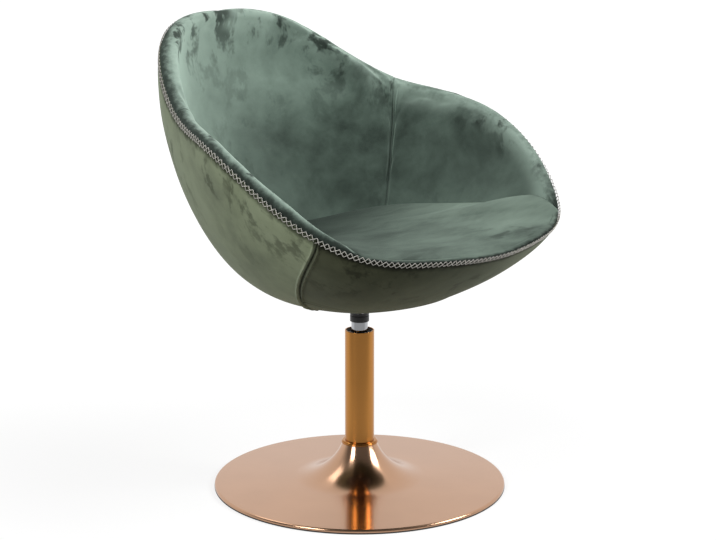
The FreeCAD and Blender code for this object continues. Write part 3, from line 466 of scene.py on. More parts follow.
class Graph:
    """Node tree with short calls to add and join nodes."""

    def __init__(self, tree: bpy.types.NodeTree) -> None:
        """Empty the tree and keep it."""
        self.tree = tree
        tree.nodes.clear()

    def add(self, kind: str, inputs: Optional[dict] = None, **settings: object) -> bpy.types.Node:
        """Add a node.

        Args:
            kind: type of the node.
            inputs: a value or an output socket for each named input.
            settings: properties of the node.

        Returns:
            The node.
        """
        node = self.tree.nodes.new(kind)
        for key, value in settings.items():
            setattr(node, key, value)
        for key, value in (inputs or {}).items():
            if isinstance(value, Socket):
                self.tree.links.new(value, node.inputs[key])
            else:
                node.inputs[key].default_value = value
        return node

    def math(self, operation: str, first: object, second: object = 0.0) -> Socket:
        """Output of a Math node on two numbers or sockets."""
        node = self.add("ShaderNodeMath", {0: first, 1: second}, operation=operation)
        return node.outputs[0]

    def times(self, first: object, second: object) -> Socket:
        """Product of two numbers or sockets."""
        return self.math("MULTIPLY", first, second)

    def larger(self, first: object, second: object) -> Socket:
        """Larger of two numbers or sockets."""
        return self.math("MAXIMUM", first, second)

    def noise(
        self, where: Socket, scale: float, detail: float = 3.0, rough: float = 0.5
    ) -> Socket:
        """Value of a noise texture."""
        inputs = {"Vector": where, "Scale": scale, "Detail": detail, "Roughness": rough}
        return self.add("ShaderNodeTexNoise", inputs).outputs["Fac"]

    def mapped(self, where: Socket, scale: Colour) -> Socket:
        """Coordinates stretched along each axis."""
        return self.add("ShaderNodeMapping", {"Vector": where, "Scale": scale}).outputs[0]

    def place(self) -> Socket:
        """Coordinates in the object's own space."""
        return self.add("ShaderNodeTexCoord").outputs["Object"]

    def weighted(self, *parts: tuple[Socket, float]) -> Socket:
        """Sum of numbers, each times its weight."""
        terms = [self.times(value, weight) for value, weight in parts]
        total = terms[0]
        for term in terms[1:]:
            total = self.math("ADD", total, term)
        return total

    def vector(self, operation: str, first: object, second: Optional[object] = None) -> Socket:
        """Output of a Vector Math node: a number for a length or a dot product."""
        inputs = {0: first} if second is None else {0: first, 1: second}
        node = self.add("ShaderNodeVectorMath", inputs, operation=operation)
        return node.outputs["Value" if operation in ("LENGTH", "DOT_PRODUCT") else "Vector"]

    def ranged(
        self, value: Socket, low: float, high: float, first: float, last: float,
        kind: str = "LINEAR",
    ) -> Socket:
        """Value carried from one range to another and kept within it."""
        inputs = {
            "Value": value, "From Min": low, "From Max": high, "To Min": first, "To Max": last
        }
        return self.add("ShaderNodeMapRange", inputs, interpolation_type=kind).outputs[0]

    def eased(
        self, value: Socket, low: float, high: float,
        first: float = 0.0, last: float = 1.0,
    ) -> Socket:
        """Smooth ramp of a value between two limits."""
        return self.ranged(value, low, high, first, last, "SMOOTHSTEP")

    def ramp(self, value: Socket, stops: Sequence[tuple[float, Colour]]) -> Socket:
        """Colour of a ramp with the given stops."""
        node = self.add("ShaderNodeValToRGB", {"Fac": value})
        ramp = node.color_ramp
        while len(ramp.elements) < len(stops):
            ramp.elements.new(0.5)
        for element, (place, colour) in zip(ramp.elements, stops):
            element.position = place
            element.color = (*colour, 1.0)
        return node.outputs["Color"]

    def mix(self, share: object, first: object, second: object, blend: str = "MIX") -> Socket:
        """Mix of two colours."""
        node = self.add("ShaderNodeMix", data_type="RGBA", blend_type=blend)
        for index, value in ((0, share), (6, first), (7, second)):
            if isinstance(value, Socket):
                self.tree.links.new(value, node.inputs[index])
            elif index == 0:
                node.inputs[index].default_value = float(value)
            else:
                node.inputs[index].default_value = (*value, 1.0)
        return node.outputs[2]

    def bump(
        self, height: Socket, distance: float, strength: float = 1.0,
        under: Optional[Socket] = None,
    ) -> Socket:
        """Normal of a bump, laid over another normal if one is given."""
        inputs = {"Height": height, "Distance": distance, "Strength": strength}
        if under is not None:
            inputs["Normal"] = under
        return self.add("ShaderNodeBump", inputs).outputs["Normal"]


def new_material(name: str) -> tuple[bpy.types.Material, Graph]:
    """Material with an empty node tree."""
    material = bpy.data.materials.new(name)
    material.use_nodes = True
    return material, Graph(material.node_tree)


def surface(graph: Graph, shader: bpy.types.Node) -> None:
    """Join a shader to the material's output."""
    graph.add("ShaderNodeOutputMaterial", {"Surface": shader.outputs[0]})


def principled(graph: Graph, inputs: dict) -> None:
    """Give the material a Principled surface with the given inputs."""
    surface(graph, graph.add("ShaderNodeBsdfPrincipled", inputs))


NAP_SHARES = (0.62, 0.28, 0.10)
NAP_STOPS = (0.36, 0.50, 0.65)
# Share of the dark colour that flattened pile and painted shade turn the cloth to.
FLAT_PILE_AND_SHADE_SHARE = 0.32
MARK_SCALE = 21.0
AREA_SCALE = 6.0
FRINGE_SCALE = 75.0
CREST_SCALE = 16.0
MARK_REACH = (0.035, 0.15)
CREST_REACH = (0.040, 0.085)


@dataclass(frozen=True)
class Velvet:
    """Short-pile velvet: its nap lies this way and that, and its colour is painted lighter, as
    sheen, where it is seen aslant.

    The glow is the colour of that painted sheen and of the painted highlight on the crest of the
    roll.  Strokes are dark finger marks near the rim.  The band beside the rim seam, with its
    frayed edge, is flattened pile and painted shade, and the crest is the painted highlight next to
    it.  The painted shade fields darken the cloth along a direction, between two distances, as
    painted shade cast by the parts around it.
    """

    name: str
    dark: Colour
    middle: Colour
    light: Colour
    # Glow: colour of the painted sheen and of the painted crest highlight; then the most of the
    # painted sheen and how quickly it grows towards grazing views.
    glow: Colour
    painted_sheen_most: float = 0.85
    painted_sheen_power: float = 2.4
    sheen: float = 0.10
    sheen_roughness: float = 0.35
    sheen_tint: Colour = (0.72, 0.86, 0.78)
    streak: Colour = (1.0, 1.0, 1.0)
    bend: float = 0.07
    patch: float = 5.5
    brush: float = 27.0
    pile: float = 1500.0
    strokes: float = 0.55
    # Band beside the rim seam, flattened pile and painted shade: its width, fray and darkness.
    band: float = 0.011
    fray: float = 0.020
    band_shade: float = 0.90
    seam_shade: float = 0.85
    # Painted shade along a direction: how dark it gets, its direction and the two distances it runs
    # between.
    painted_shade_most: float = 0.0
    painted_shade_way: Colour = (-0.55, 0.83, 0.0)
    painted_shade_from: float = -0.24
    painted_shade_to: float = 0.14
    # Painted highlight on the crest of the roll.
    crest: float = 0.0

    def lie(self, graph: Graph, where: Socket) -> Socket:
        """Coordinates along the nap, bent gently so that no streak runs straight."""
        inputs = {"Vector": where, "Scale": self.patch, "Detail": 2.0}
        bend = graph.add("ShaderNodeTexNoise", inputs).outputs["Color"]
        inputs = {0: bend, "Scale": self.bend}
        move = graph.add("ShaderNodeVectorMath", inputs, operation="SCALE").outputs[0]
        return graph.mapped(graph.vector("ADD", where, move), self.streak)

    def material(self) -> bpy.types.Material:
        """Build the velvet's node tree."""
        made, graph = new_material(self.name)
        where = graph.place()
        lie = self.lie(graph, where)
        brushed = graph.noise(lie, self.brush, 4.0, 0.58)
        pile = graph.noise(where, self.pile, 2.0, 0.6)
        patches = graph.noise(lie, self.patch, 1.5, 0.5)
        tone = graph.weighted(*zip((patches, brushed, pile), NAP_SHARES))
        colour = graph.ramp(tone, list(zip(NAP_STOPS, (self.dark, self.middle, self.light))))
        # Painted shade: the cloth darkens along a direction, where the parts around it shade it.
        place = graph.vector("DOT_PRODUCT", where, self.painted_shade_way)
        painted_shade = graph.eased(place, self.painted_shade_from, self.painted_shade_to, 0.0, self.painted_shade_most)
        colour = graph.mix(painted_shade, colour, self.dark)
        rim_gap = graph.add("ShaderNodeAttribute", attribute_name="rim_gap").outputs["Fac"]
        seam = graph.add("ShaderNodeAttribute", attribute_name="seam_near").outputs["Fac"]
        near_rim = graph.eased(rim_gap, *MARK_REACH, 1.0, 0.25)
        finger = graph.noise(graph.mapped(lie, (1.0, 1.0, 0.6)), MARK_SCALE, 4.0, 0.66)
        finger = graph.eased(finger, 0.52, 0.63)
        areas = graph.eased(graph.noise(where, AREA_SCALE), 0.39, 0.53)
        finger = graph.times(finger, areas)
        finger = graph.times(graph.times(finger, near_rim), self.strokes)
        # Band beside the rim seam, with a frayed edge: flattened pile and painted shade.
        fringe = graph.math("SUBTRACT", graph.noise(where, FRINGE_SCALE, 5.0, 0.66), 0.5)
        edge = graph.math("ADD", rim_gap, graph.times(fringe, self.fray))
        band = graph.eased(edge, 0.35 * self.band, 1.35 * self.band, self.band_shade, 0.0)
        # Painted highlight on the crest of the roll, past the band, in the glow colour.
        crest = graph.times(
            graph.eased(edge, 1.1 * self.band, 1.8 * self.band, 0.0, self.crest),
            graph.eased(rim_gap, *CREST_REACH, 1.0, 0.0),
        )
        uneven = graph.noise(lie, CREST_SCALE, 4.0, 0.6)
        uneven = graph.eased(uneven, 0.40, 0.58, 0.25, 1.0)
        colour = graph.mix(graph.times(crest, uneven), colour, self.glow)
        # Finger marks are flattened pile, the band is flattened pile and painted shade, and the
        # panel seams carry painted shade.
        flat_pile_and_shade = graph.larger(band, finger)
        flat_pile_and_shade = graph.larger(flat_pile_and_shade, graph.times(seam, self.seam_shade))
        dents = graph.bump(brushed, 0.0012, 0.30)
        normal = graph.bump(pile, 0.0003, 0.35, dents)
        # Painted sheen: the colour turns towards the glow colour where the cloth is seen aslant,
        # less where painted shade lies.
        aslant = graph.add("ShaderNodeLayerWeight", {"Blend": 0.5}).outputs["Facing"]
        aslant = graph.math("POWER", aslant, self.painted_sheen_power)
        aslant = graph.times(aslant, graph.math("SUBTRACT", 1.0, painted_shade))
        colour = graph.mix(graph.times(aslant, self.painted_sheen_most), colour, self.glow)
        colour = graph.mix(flat_pile_and_shade, colour, tuple(FLAT_PILE_AND_SHADE_SHARE * c for c in self.dark))
        principled(graph, {
            "Base Color": colour,
            "Roughness": 0.85,
            "Specular IOR Level": 0.12,
            "Sheen Weight": self.sheen,
            "Sheen Roughness": self.sheen_roughness,
            "Sheen Tint": (*self.sheen_tint, 1.0),
            "Normal": normal,
        })
        return made


@dataclass(frozen=True)
class SpunCopper:
    """Copper-coloured plating over circular brushing, as a lathe leaves it."""

    name: str
    colour: Colour = (0.45, 0.215, 0.075)
    roughness: float = 0.19
    anisotropy: float = 0.75
    lines: float = 1100.0
    shade: float = 0.93
    uneven: float = 0.03
    clouds: float = 14.0

    def material(self) -> bpy.types.Material:
        """Build the copper's node tree."""
        made, graph = new_material(self.name)
        where = graph.place()
        parts = graph.add("ShaderNodeSeparateXYZ", {"Vector": where})
        flat = graph.add("ShaderNodeCombineXYZ", {0: parts.outputs[0], 1: parts.outputs[1]})
        radius = graph.vector("LENGTH", flat.outputs[0])
        ring = graph.add("ShaderNodeCombineXYZ", {0: radius, 1: parts.outputs[2]})
        scratch = graph.noise(ring.outputs[0], self.lines, 3.0, 0.7)
        cloud = graph.noise(where, self.clouds, 3.0, 0.5)
        tone = graph.weighted((scratch, 0.5), (cloud, 0.5))
        darker = tuple(self.shade * c for c in self.colour)
        colour = graph.ramp(tone, [(0.35, darker), (0.65, self.colour)])
        least, most = self.roughness - self.uneven, self.roughness + self.uneven
        rough = graph.ranged(scratch, 0.0, 1.0, least, most)
        normal = graph.bump(scratch, 0.00001, 0.25)
        tangent = graph.add("ShaderNodeTangent", direction_type="RADIAL", axis="Z").outputs[0]
        principled(graph, {
            "Base Color": colour,
            "Metallic": 1.0,
            "Roughness": rough,
            "Anisotropic": self.anisotropy,
            "Anisotropic Rotation": 0.25,
            "Tangent": tangent,
            "Normal": normal,
        })
        return made


@dataclass(frozen=True)
class Grained:
    """Plain hard finish with a fine grain and a little unevenness in tone."""

    name: str
    colour: Colour
    roughness: float
    metallic: float = 0.0
    grain: float = 900.0
    spread: float = 0.12
    relief: float = 0.0001
    clouds: float = 22.0

    def material(self) -> bpy.types.Material:
        """Build the finish's node tree."""
        made, graph = new_material(self.name)
        where = graph.place()
        fine = graph.noise(where, self.grain, 3.0, 0.6)
        wide = graph.noise(where, self.clouds, 2.0, 0.5)
        tone = graph.times(graph.math("ADD", fine, wide), 0.5)
        low = tuple(max(0.0, c * (1.0 - self.spread)) for c in self.colour)
        high = tuple(min(1.0, c * (1.0 + self.spread)) for c in self.colour)
        colour = graph.ramp(tone, [(0.3, low), (0.7, high)])
        rough = graph.ranged(wide, 0.0, 1.0, 0.85 * self.roughness, 1.15 * self.roughness)
        principled(graph, {
            "Base Color": colour,
            "Metallic": self.metallic,
            "Roughness": rough,
            "Normal": graph.bump(fine, self.relief, 0.5),
        })
        return made


@dataclass(frozen=True)
class Plywood:
    """Birch plywood: long grain on the face and thin plies at the edge."""

    name: str = "birch_plywood"
    ply: float = 0.0013

    def material(self) -> bpy.types.Material:
        """Build the plywood's node tree."""
        made, graph = new_material(self.name)
        where = graph.place()
        grain = graph.noise(graph.mapped(where, (4.0, 60.0, 60.0)), 3.0, 4.0, 0.6)
        height = graph.add("ShaderNodeSeparateXYZ", {"Vector": where}).outputs[2]
        plies = graph.math("PINGPONG", height, self.ply)
        bands = graph.math("DIVIDE", plies, self.ply)
        tone = graph.weighted((grain, 0.7), (bands, 0.3))
        colour = graph.ramp(tone, [(0.3, (0.42, 0.28, 0.15)), (0.7, (0.66, 0.50, 0.32))])
        normal = graph.bump(grain, 0.0002, 0.4)
        principled(graph, {"Base Color": colour, "Roughness": 0.6, "Normal": normal})
        return made


@dataclass(frozen=True)
class Thread:
    """Twisted cream sewing thread."""

    name: str = "cream_thread"
    colour: Colour = (0.68, 0.66, 0.60)
    twist: float = 2600.0

    def material(self) -> bpy.types.Material:
        """Build the thread's node tree."""
        made, graph = new_material(self.name)
        where = graph.place()
        fibre = graph.noise(where, self.twist, 2.0, 0.5)
        low = tuple(0.6 * c for c in self.colour)
        colour = graph.ramp(fibre, [(0.35, low), (0.65, self.colour)])
        principled(graph, {
            "Base Color": colour,
            "Roughness": 0.55,
            "Sheen Weight": 0.2,
            "Normal": graph.bump(fibre, 0.0001, 0.5),
        })
        return made


VELVETS = {
    # Padding: painted shade darkens it low down, where the seat and the arms shade it.
    Nap.PADDING: Velvet(
        "velvet_padding", (0.042, 0.060, 0.049), (0.136, 0.190, 0.156), (0.236, 0.318, 0.266),
        (0.62, 0.79, 0.68), painted_shade_way=(0.0, 0.0, -1.0), painted_shade_from=-0.72, painted_shade_to=-0.47,
        painted_shade_most=0.50, painted_sheen_power=1.2, strokes=0.85, band=0.021, fray=0.028,
        seam_shade=0.45, crest=0.30,
    ),
    # Seat: painted shade darkens it towards the back and the sitter's right, in the near arm's
    # shadow.
    Nap.SEAT: Velvet(
        "velvet_seat", (0.014, 0.022, 0.018), (0.118, 0.160, 0.130), (0.205, 0.268, 0.218),
        (0.40, 0.51, 0.43), painted_sheen_most=0.40, painted_sheen_power=2.4, sheen=0.06, painted_shade_most=0.93,
        streak=(0.5, 1.4, 1.0), strokes=0.45, band=0.007, fray=0.012,
    ),
    Nap.REAR_COVER: Velvet(
        "velvet_rear_cover", (0.080, 0.098, 0.052), (0.205, 0.244, 0.142), (0.282, 0.328, 0.208),
        (0.36, 0.41, 0.31), sheen_tint=(0.74, 0.82, 0.66), strokes=0.55, band=0.015, painted_sheen_power=2.0,
    ),
    # The front cover's colours are a darker copy of the rear cover's: painted shade on the
    # underside of the bucket.
    Nap.FRONT_COVER_SHADED: Velvet(
        "velvet_front_cover_painted_shade", (0.018, 0.020, 0.010), (0.046, 0.050, 0.026), (0.092, 0.100, 0.058),
        (0.22, 0.25, 0.18), sheen_tint=(0.74, 0.80, 0.62), strokes=0.55, band=0.016,
    ),
}

FINISHES = {
    # The base plate and the column carry the same plating; the plate's colour is paler and pinker,
    # painting in the whitish sheen of its grazing reflection.
    "copper": SpunCopper("spun_copper_painted_sheen", (0.55, 0.33, 0.21)),
    "column_copper": SpunCopper("column_copper", (0.48, 0.215, 0.055)),
    "rubber": Grained("rubber_edge", (0.018, 0.017, 0.016), 0.75),
    "steel": Grained("zinc_steel", (0.52, 0.53, 0.55), 0.38, 1.0),
    "iron": Grained("primed_iron", (0.03, 0.03, 0.03), 0.6, 0.0, 400.0, 0.2, 0.0003),
    "chrome": Grained("bright_chrome", (0.42, 0.43, 0.45), 0.08, 1.0, 900.0, 0.03, 0.00001),
    "black_metal": Grained(
        "black_powder_coat", (0.012, 0.012, 0.012), 0.42, 0.0, 1400.0, 0.2, 0.0002
    ),
    "black_plastic": Grained("black_nylon", (0.014, 0.014, 0.015), 0.5),
    "shell_plastic": Grained("moulded_shell", (0.05, 0.05, 0.05), 0.55),
    "plywood": Plywood(),
    "felt": Grained("black_felt", (0.012, 0.012, 0.012), 0.95, 0.0, 700.0, 0.4, 0.0006),
    "thread": Thread(),
}


def dressed(
    piece: Piece,
    material: bpy.types.Material,
    body: Body,
    nodes: Sequence[str] = (),
) -> Piece:
    """Give a piece its material, slot and body, and hide the nodes that it stands for.

    Args:
        piece: finished mesh object.
        material: its material.
        body: the body that it rides on.
        nodes: CAD nodes that it replaces.

    Returns:
        The same object.
    """
    piece.data.materials.clear()
    piece.data.materials.append(material)
    if nodes:
        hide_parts(*nodes)
    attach(piece, body.value)
    log.info("%-18s %6d faces on %s", piece.name, len(piece.data.polygons), body.value)
    return piece


# Upholstery


@dataclass(frozen=True)
class RimGroove:
    """Shallow groove that the cross-stitch draws into the rim seam."""

    depth: float = 0.0017
    width: float = 0.0034

    def sink(self, distance: Array) -> Array:
        """How far the cloth is drawn in at a distance from the seam."""
        return self.depth * bell(distance, self.width)


GROOVE = RimGroove()
# Distance to the rim seam that is given to cloth which the seam doesn't reach
FAR = 0.25


@dataclass
class Padding:
    """Padding of the bucket: back and two arms, which roll over the rim.

    The valley is a panel seam with a line of stitches beside it.  The roll is plumper where the
    arms round off.  Turns are in radians round the roll, from the rim seam.
    """

    pitch: float = 0.0065
    fine: float = 0.0006
    valley: float = 0.0013
    valley_width: float = 0.0011
    stitch_place: float = 0.0024
    stitch_width: float = 0.0006
    stitch_depth: float = 0.0004
    plump: float = 0.30
    plump_angle: float = 63.0
    plump_width: float = 15.0
    foot: float = 0.25
    rise_count: int = 14
    roll_count: int = 22
    fall_count: int = 56
    least_depth: float = 0.0015
    back_share: float = 0.8
    seam_hold: float = 0.004
    seam_fade: float = 0.012
    pull_from: float = 0.4
    free_turn: float = 0.5
    uneven_height: float = 0.0011
    uneven_pitch: float = 0.07
    stuffing: Stuffing = Stuffing(most=0.0035)

    def seam_relief(self, distance: Array) -> Array:
        """How far the face sinks at a distance from a panel seam and its line of stitches."""
        valley = self.valley * bell(distance, self.valley_width)
        line = self.stitch_depth * bell(distance - self.stitch_place, self.stitch_width)
        return valley + line

    def painted_seam_shade(self, distance: Array) -> Array:
        """How much painted shade lies at a distance from a panel seam, in its valley and along its
        stitches.
        """
        line = 0.4 * bell(distance - self.stitch_place, self.stitch_width)
        return np.maximum(bell(distance, self.valley_width), line)

    def sections(
        self, angles: Array, seams: Sequence[float]
    ) -> tuple[Array, Array, Array, Array]:
        """Sections of a pad at angles.

        Args:
            angles: degrees from the front.
            seams: angles of the panel seams at its ends.

        Returns:
            Points, distance to the rim seam, painted shade of the panel seams and how firmly each
            point is held.
        """
        radius = FORM.rim_radius.at(angles)
        gap = np.full_like(angles, 1.0)
        for seam in seams:
            gap = np.minimum(gap, np.abs(angles - seam) * np.pi / 180.0 * radius)
        relief = self.seam_relief(gap)
        inner = np.maximum(FORM.roll_depth(angles), self.least_depth)
        back = np.minimum(FORM.shell_back, self.back_share * inner)
        beside = FORM.from_front(angles) - self.plump_angle
        plump = 1.0 + self.plump * bell(beside, self.plump_width)
        rows: list[Array] = []
        held: list[Array] = []

        def keep(pair: Array, firm: float) -> None:
            rows.append(FORM.placed(angles, pair))
            held.append(np.maximum(np.full_like(angles, firm), bell(gap, self.seam_hold)))

        for t in np.linspace(self.foot, 1.0, self.rise_count):
            keep(FORM.wall(angles, t, back), 1.0)
        half = inner / 2.0
        length = math.pi * half
        for turn in np.linspace(0.0, math.pi, self.roll_count):
            away = length * turn / math.pi
            sink = GROOVE.sink(away) + relief * smooth_step(away / self.seam_fade)
            reach = half - sink * math.sin(max(turn, self.pull_from))
            depth = half - reach * math.cos(turn) + GROOVE.sink(away) * math.cos(turn)
            lift = np.maximum(reach, 0.0) * math.sin(turn) * plump
            keep(FORM.wall(angles, 1.0, depth, lift), 1.0 - min(1.0, turn / self.free_turn))
        for t in np.linspace(1.0, self.foot, self.fall_count)[1:]:
            keep(FORM.wall(angles, t, inner - relief), 0.0)
        points = np.stack(rows, 1)
        steps = np.linalg.norm(np.diff(points, axis=1), axis=2)
        run = np.concatenate([np.zeros((len(angles), 1)), np.cumsum(steps, axis=1)], 1)
        rim_gap = run - run[:, [self.rise_count]]
        rim_gap = np.where(rim_gap < 0.0, FAR, rim_gap)
        # Painted shade of the panel seams, for each point.
        dark = np.broadcast_to(self.painted_seam_shade(gap)[:, None], rim_gap.shape)
        return points, rim_gap, dark, np.stack(held, 1)

    def pad(self, name: str, first: float, last: float, seams: Sequence[float]) -> Piece:
        """Build one pad between two angles."""
        length = math.radians(last - first) * FORM.rim_radius.values[3]
        places = graded(length, self.pitch, self.fine, first in seams, last in seams)
        angles = first + (last - first) * places
        points, rim_gap, dark, held = self.sections(angles, seams)
        stations, count = points.shape[:2]
        piece = finished_mesh(
            name,
            points.reshape(-1, 3),
            loop_faces(stations, count, False),
            attributes={"rim_gap": rim_gap.ravel(), "seam_near": dark.ravel()},
        )
        self.stuffing.fill(piece, held.ravel())
        roughen(piece, vertex_normals(piece), self.uneven_height, self.uneven_pitch)
        return piece

    def build(self) -> None:
        """Build and dress the back and the arms."""
        cloth = VELVETS[Nap.PADDING].material()
        seam, arm = FORM.back_seam, FORM.arm_end
        spans = {
            "back_padding": ("back_pad", seam, 360.0 - seam, (seam, 360.0 - seam)),
            "left_arm_padding": ("left_arm_pad", arm, seam, (seam,)),
            "right_arm_padding": ("right_arm_pad", 360.0 - seam, 360.0 - arm, (360.0 - seam,)),
        }
        for name, (node, first, last, seams) in spans.items():
            piece = self.pad(name, first, last, seams)
            dressed(piece, cloth, Body.SEAT, [node])


@dataclass
class Seat:
    """Seat cushion: one crowned cover that rolls over the front edge down to the rim seam."""

    pitch: float = 0.0070
    centre_height: float = 0.455
    slope: float = 0.08
    flat_radius: float = 0.012
    crown_reach: float = 0.55
    free_from: float = 42.0
    free_width: float = 30.0
    roundness: float = 0.020
    front_roundness: float = 0.017
    foot: float = 0.12
    underside: float = 0.3547
    board_radius: float = 0.092
    gap: float = 0.0006
    top_count: int = 54
    wall_count: int = 16
    crowding: float = 0.8
    hold: float = 0.010
    front_end: float = 46.0
    front_fade: float = 5.0
    uneven_height: float = 0.0010
    uneven_pitch: float = 0.08
    stuffing: Stuffing = Stuffing(most=0.0025)

    def edge(self, angle: float) -> tuple[float, float, float]:
        """Depth, share of the profile and roundness of the cushion's edge at an angle."""
        aside = float(FORM.from_front(angle))
        depth = float(FORM.roll_depth(angle))
        free = float(smooth_step((aside - self.free_from) / self.free_width))
        height = float(FORM.seat_edge.at(angle))
        share = FORM.wall_share(angle, depth, height)
        depth += self.gap * free
        return depth, 1.0 + free * (share - 1.0), self.front_roundness + free * (
            self.roundness - self.front_roundness
        )

    def section(self, angle: float) -> tuple[list[Array], list[float], list[float]]:
        """Closed section from the centre over the edge and back below."""
        depth, share, roundness = self.edge(angle)
        point, up, inward = FORM.profile(angle, share)
        edge = point + depth * inward
        pitch = self.slope * math.cos(math.radians(angle))
        middle = np.array([self.flat_radius, self.centre_height + pitch * self.flat_radius])
        reach = self.crown_reach * (edge[0] - self.flat_radius)
        poles = [
            middle,
            middle + np.array([reach, pitch * reach]),
            edge + roundness * up,
            edge,
        ]
        pairs, near, held = [], [], []
        aside = float(FORM.from_front(angle))
        front = 1.0 - float(smooth_step((aside - self.front_end) / self.front_fade))
        for t in np.linspace(0.0, 1.0, self.top_count) ** self.crowding:
            rest = 1.0 - t
            here = (
                rest**3 * poles[0] + 3 * rest**2 * t * poles[1]
                + 3 * rest * t**2 * poles[2] + t**3 * poles[3]
            )
            away = float(np.linalg.norm(here - edge))
            here = here + front * float(GROOVE.sink(away)) * inward
            pairs.append(here)
            near.append(away + FAR * (1.0 - front))
            held.append(float(bell(away, self.hold)))
        behind = max(depth, FORM.shell_back)
        for t in np.linspace(share, self.foot, self.wall_count):
            pairs.append(FORM.wall(angle, t, np.array(behind)))
            near.append(FAR)
            held.append(1.0)
        for radius in (self.board_radius, self.flat_radius):
            pairs.append(np.array([radius, self.underside]))
            near.append(FAR)
            held.append(1.0)
        return pairs, near, held

    def build(self) -> None:
        """Build and dress the cushion."""
        stations = int(round(2.0 * math.pi * FORM.rim_radius.values[3] / self.pitch))
        angles = np.linspace(-180.0, 180.0, stations, endpoint=False)
        points, near, held = [], [], []
        for angle in angles:
            pairs, dark, firm = self.section(float(angle))
            points.append(FORM.placed(angle, np.array(pairs)))
            near.append(dark)
            held.append(firm)
        grid = np.array(points)
        count = grid.shape[1]
        faces = [
            face for face in loop_faces(stations, count, True)
            if not {face[0] % count, face[1] % count} == {count - 1, 0}
        ]
        faces.append(tuple(i * count for i in range(stations)))
        faces.append(tuple(i * count + count - 1 for i in reversed(range(stations))))
        piece = finished_mesh(
            "seat_cover", grid.reshape(-1, 3), faces,
            attributes={"rim_gap": np.array(near).ravel()},
        )
        self.stuffing.fill(piece, np.array(held).ravel())
        roughen(piece, vertex_normals(piece), self.uneven_height, self.uneven_pitch)
        cloth = VELVETS[Nap.SEAT].material()
        dressed(piece, cloth, Body.SEAT, ["seat_cushion", "front_edge_roll"])


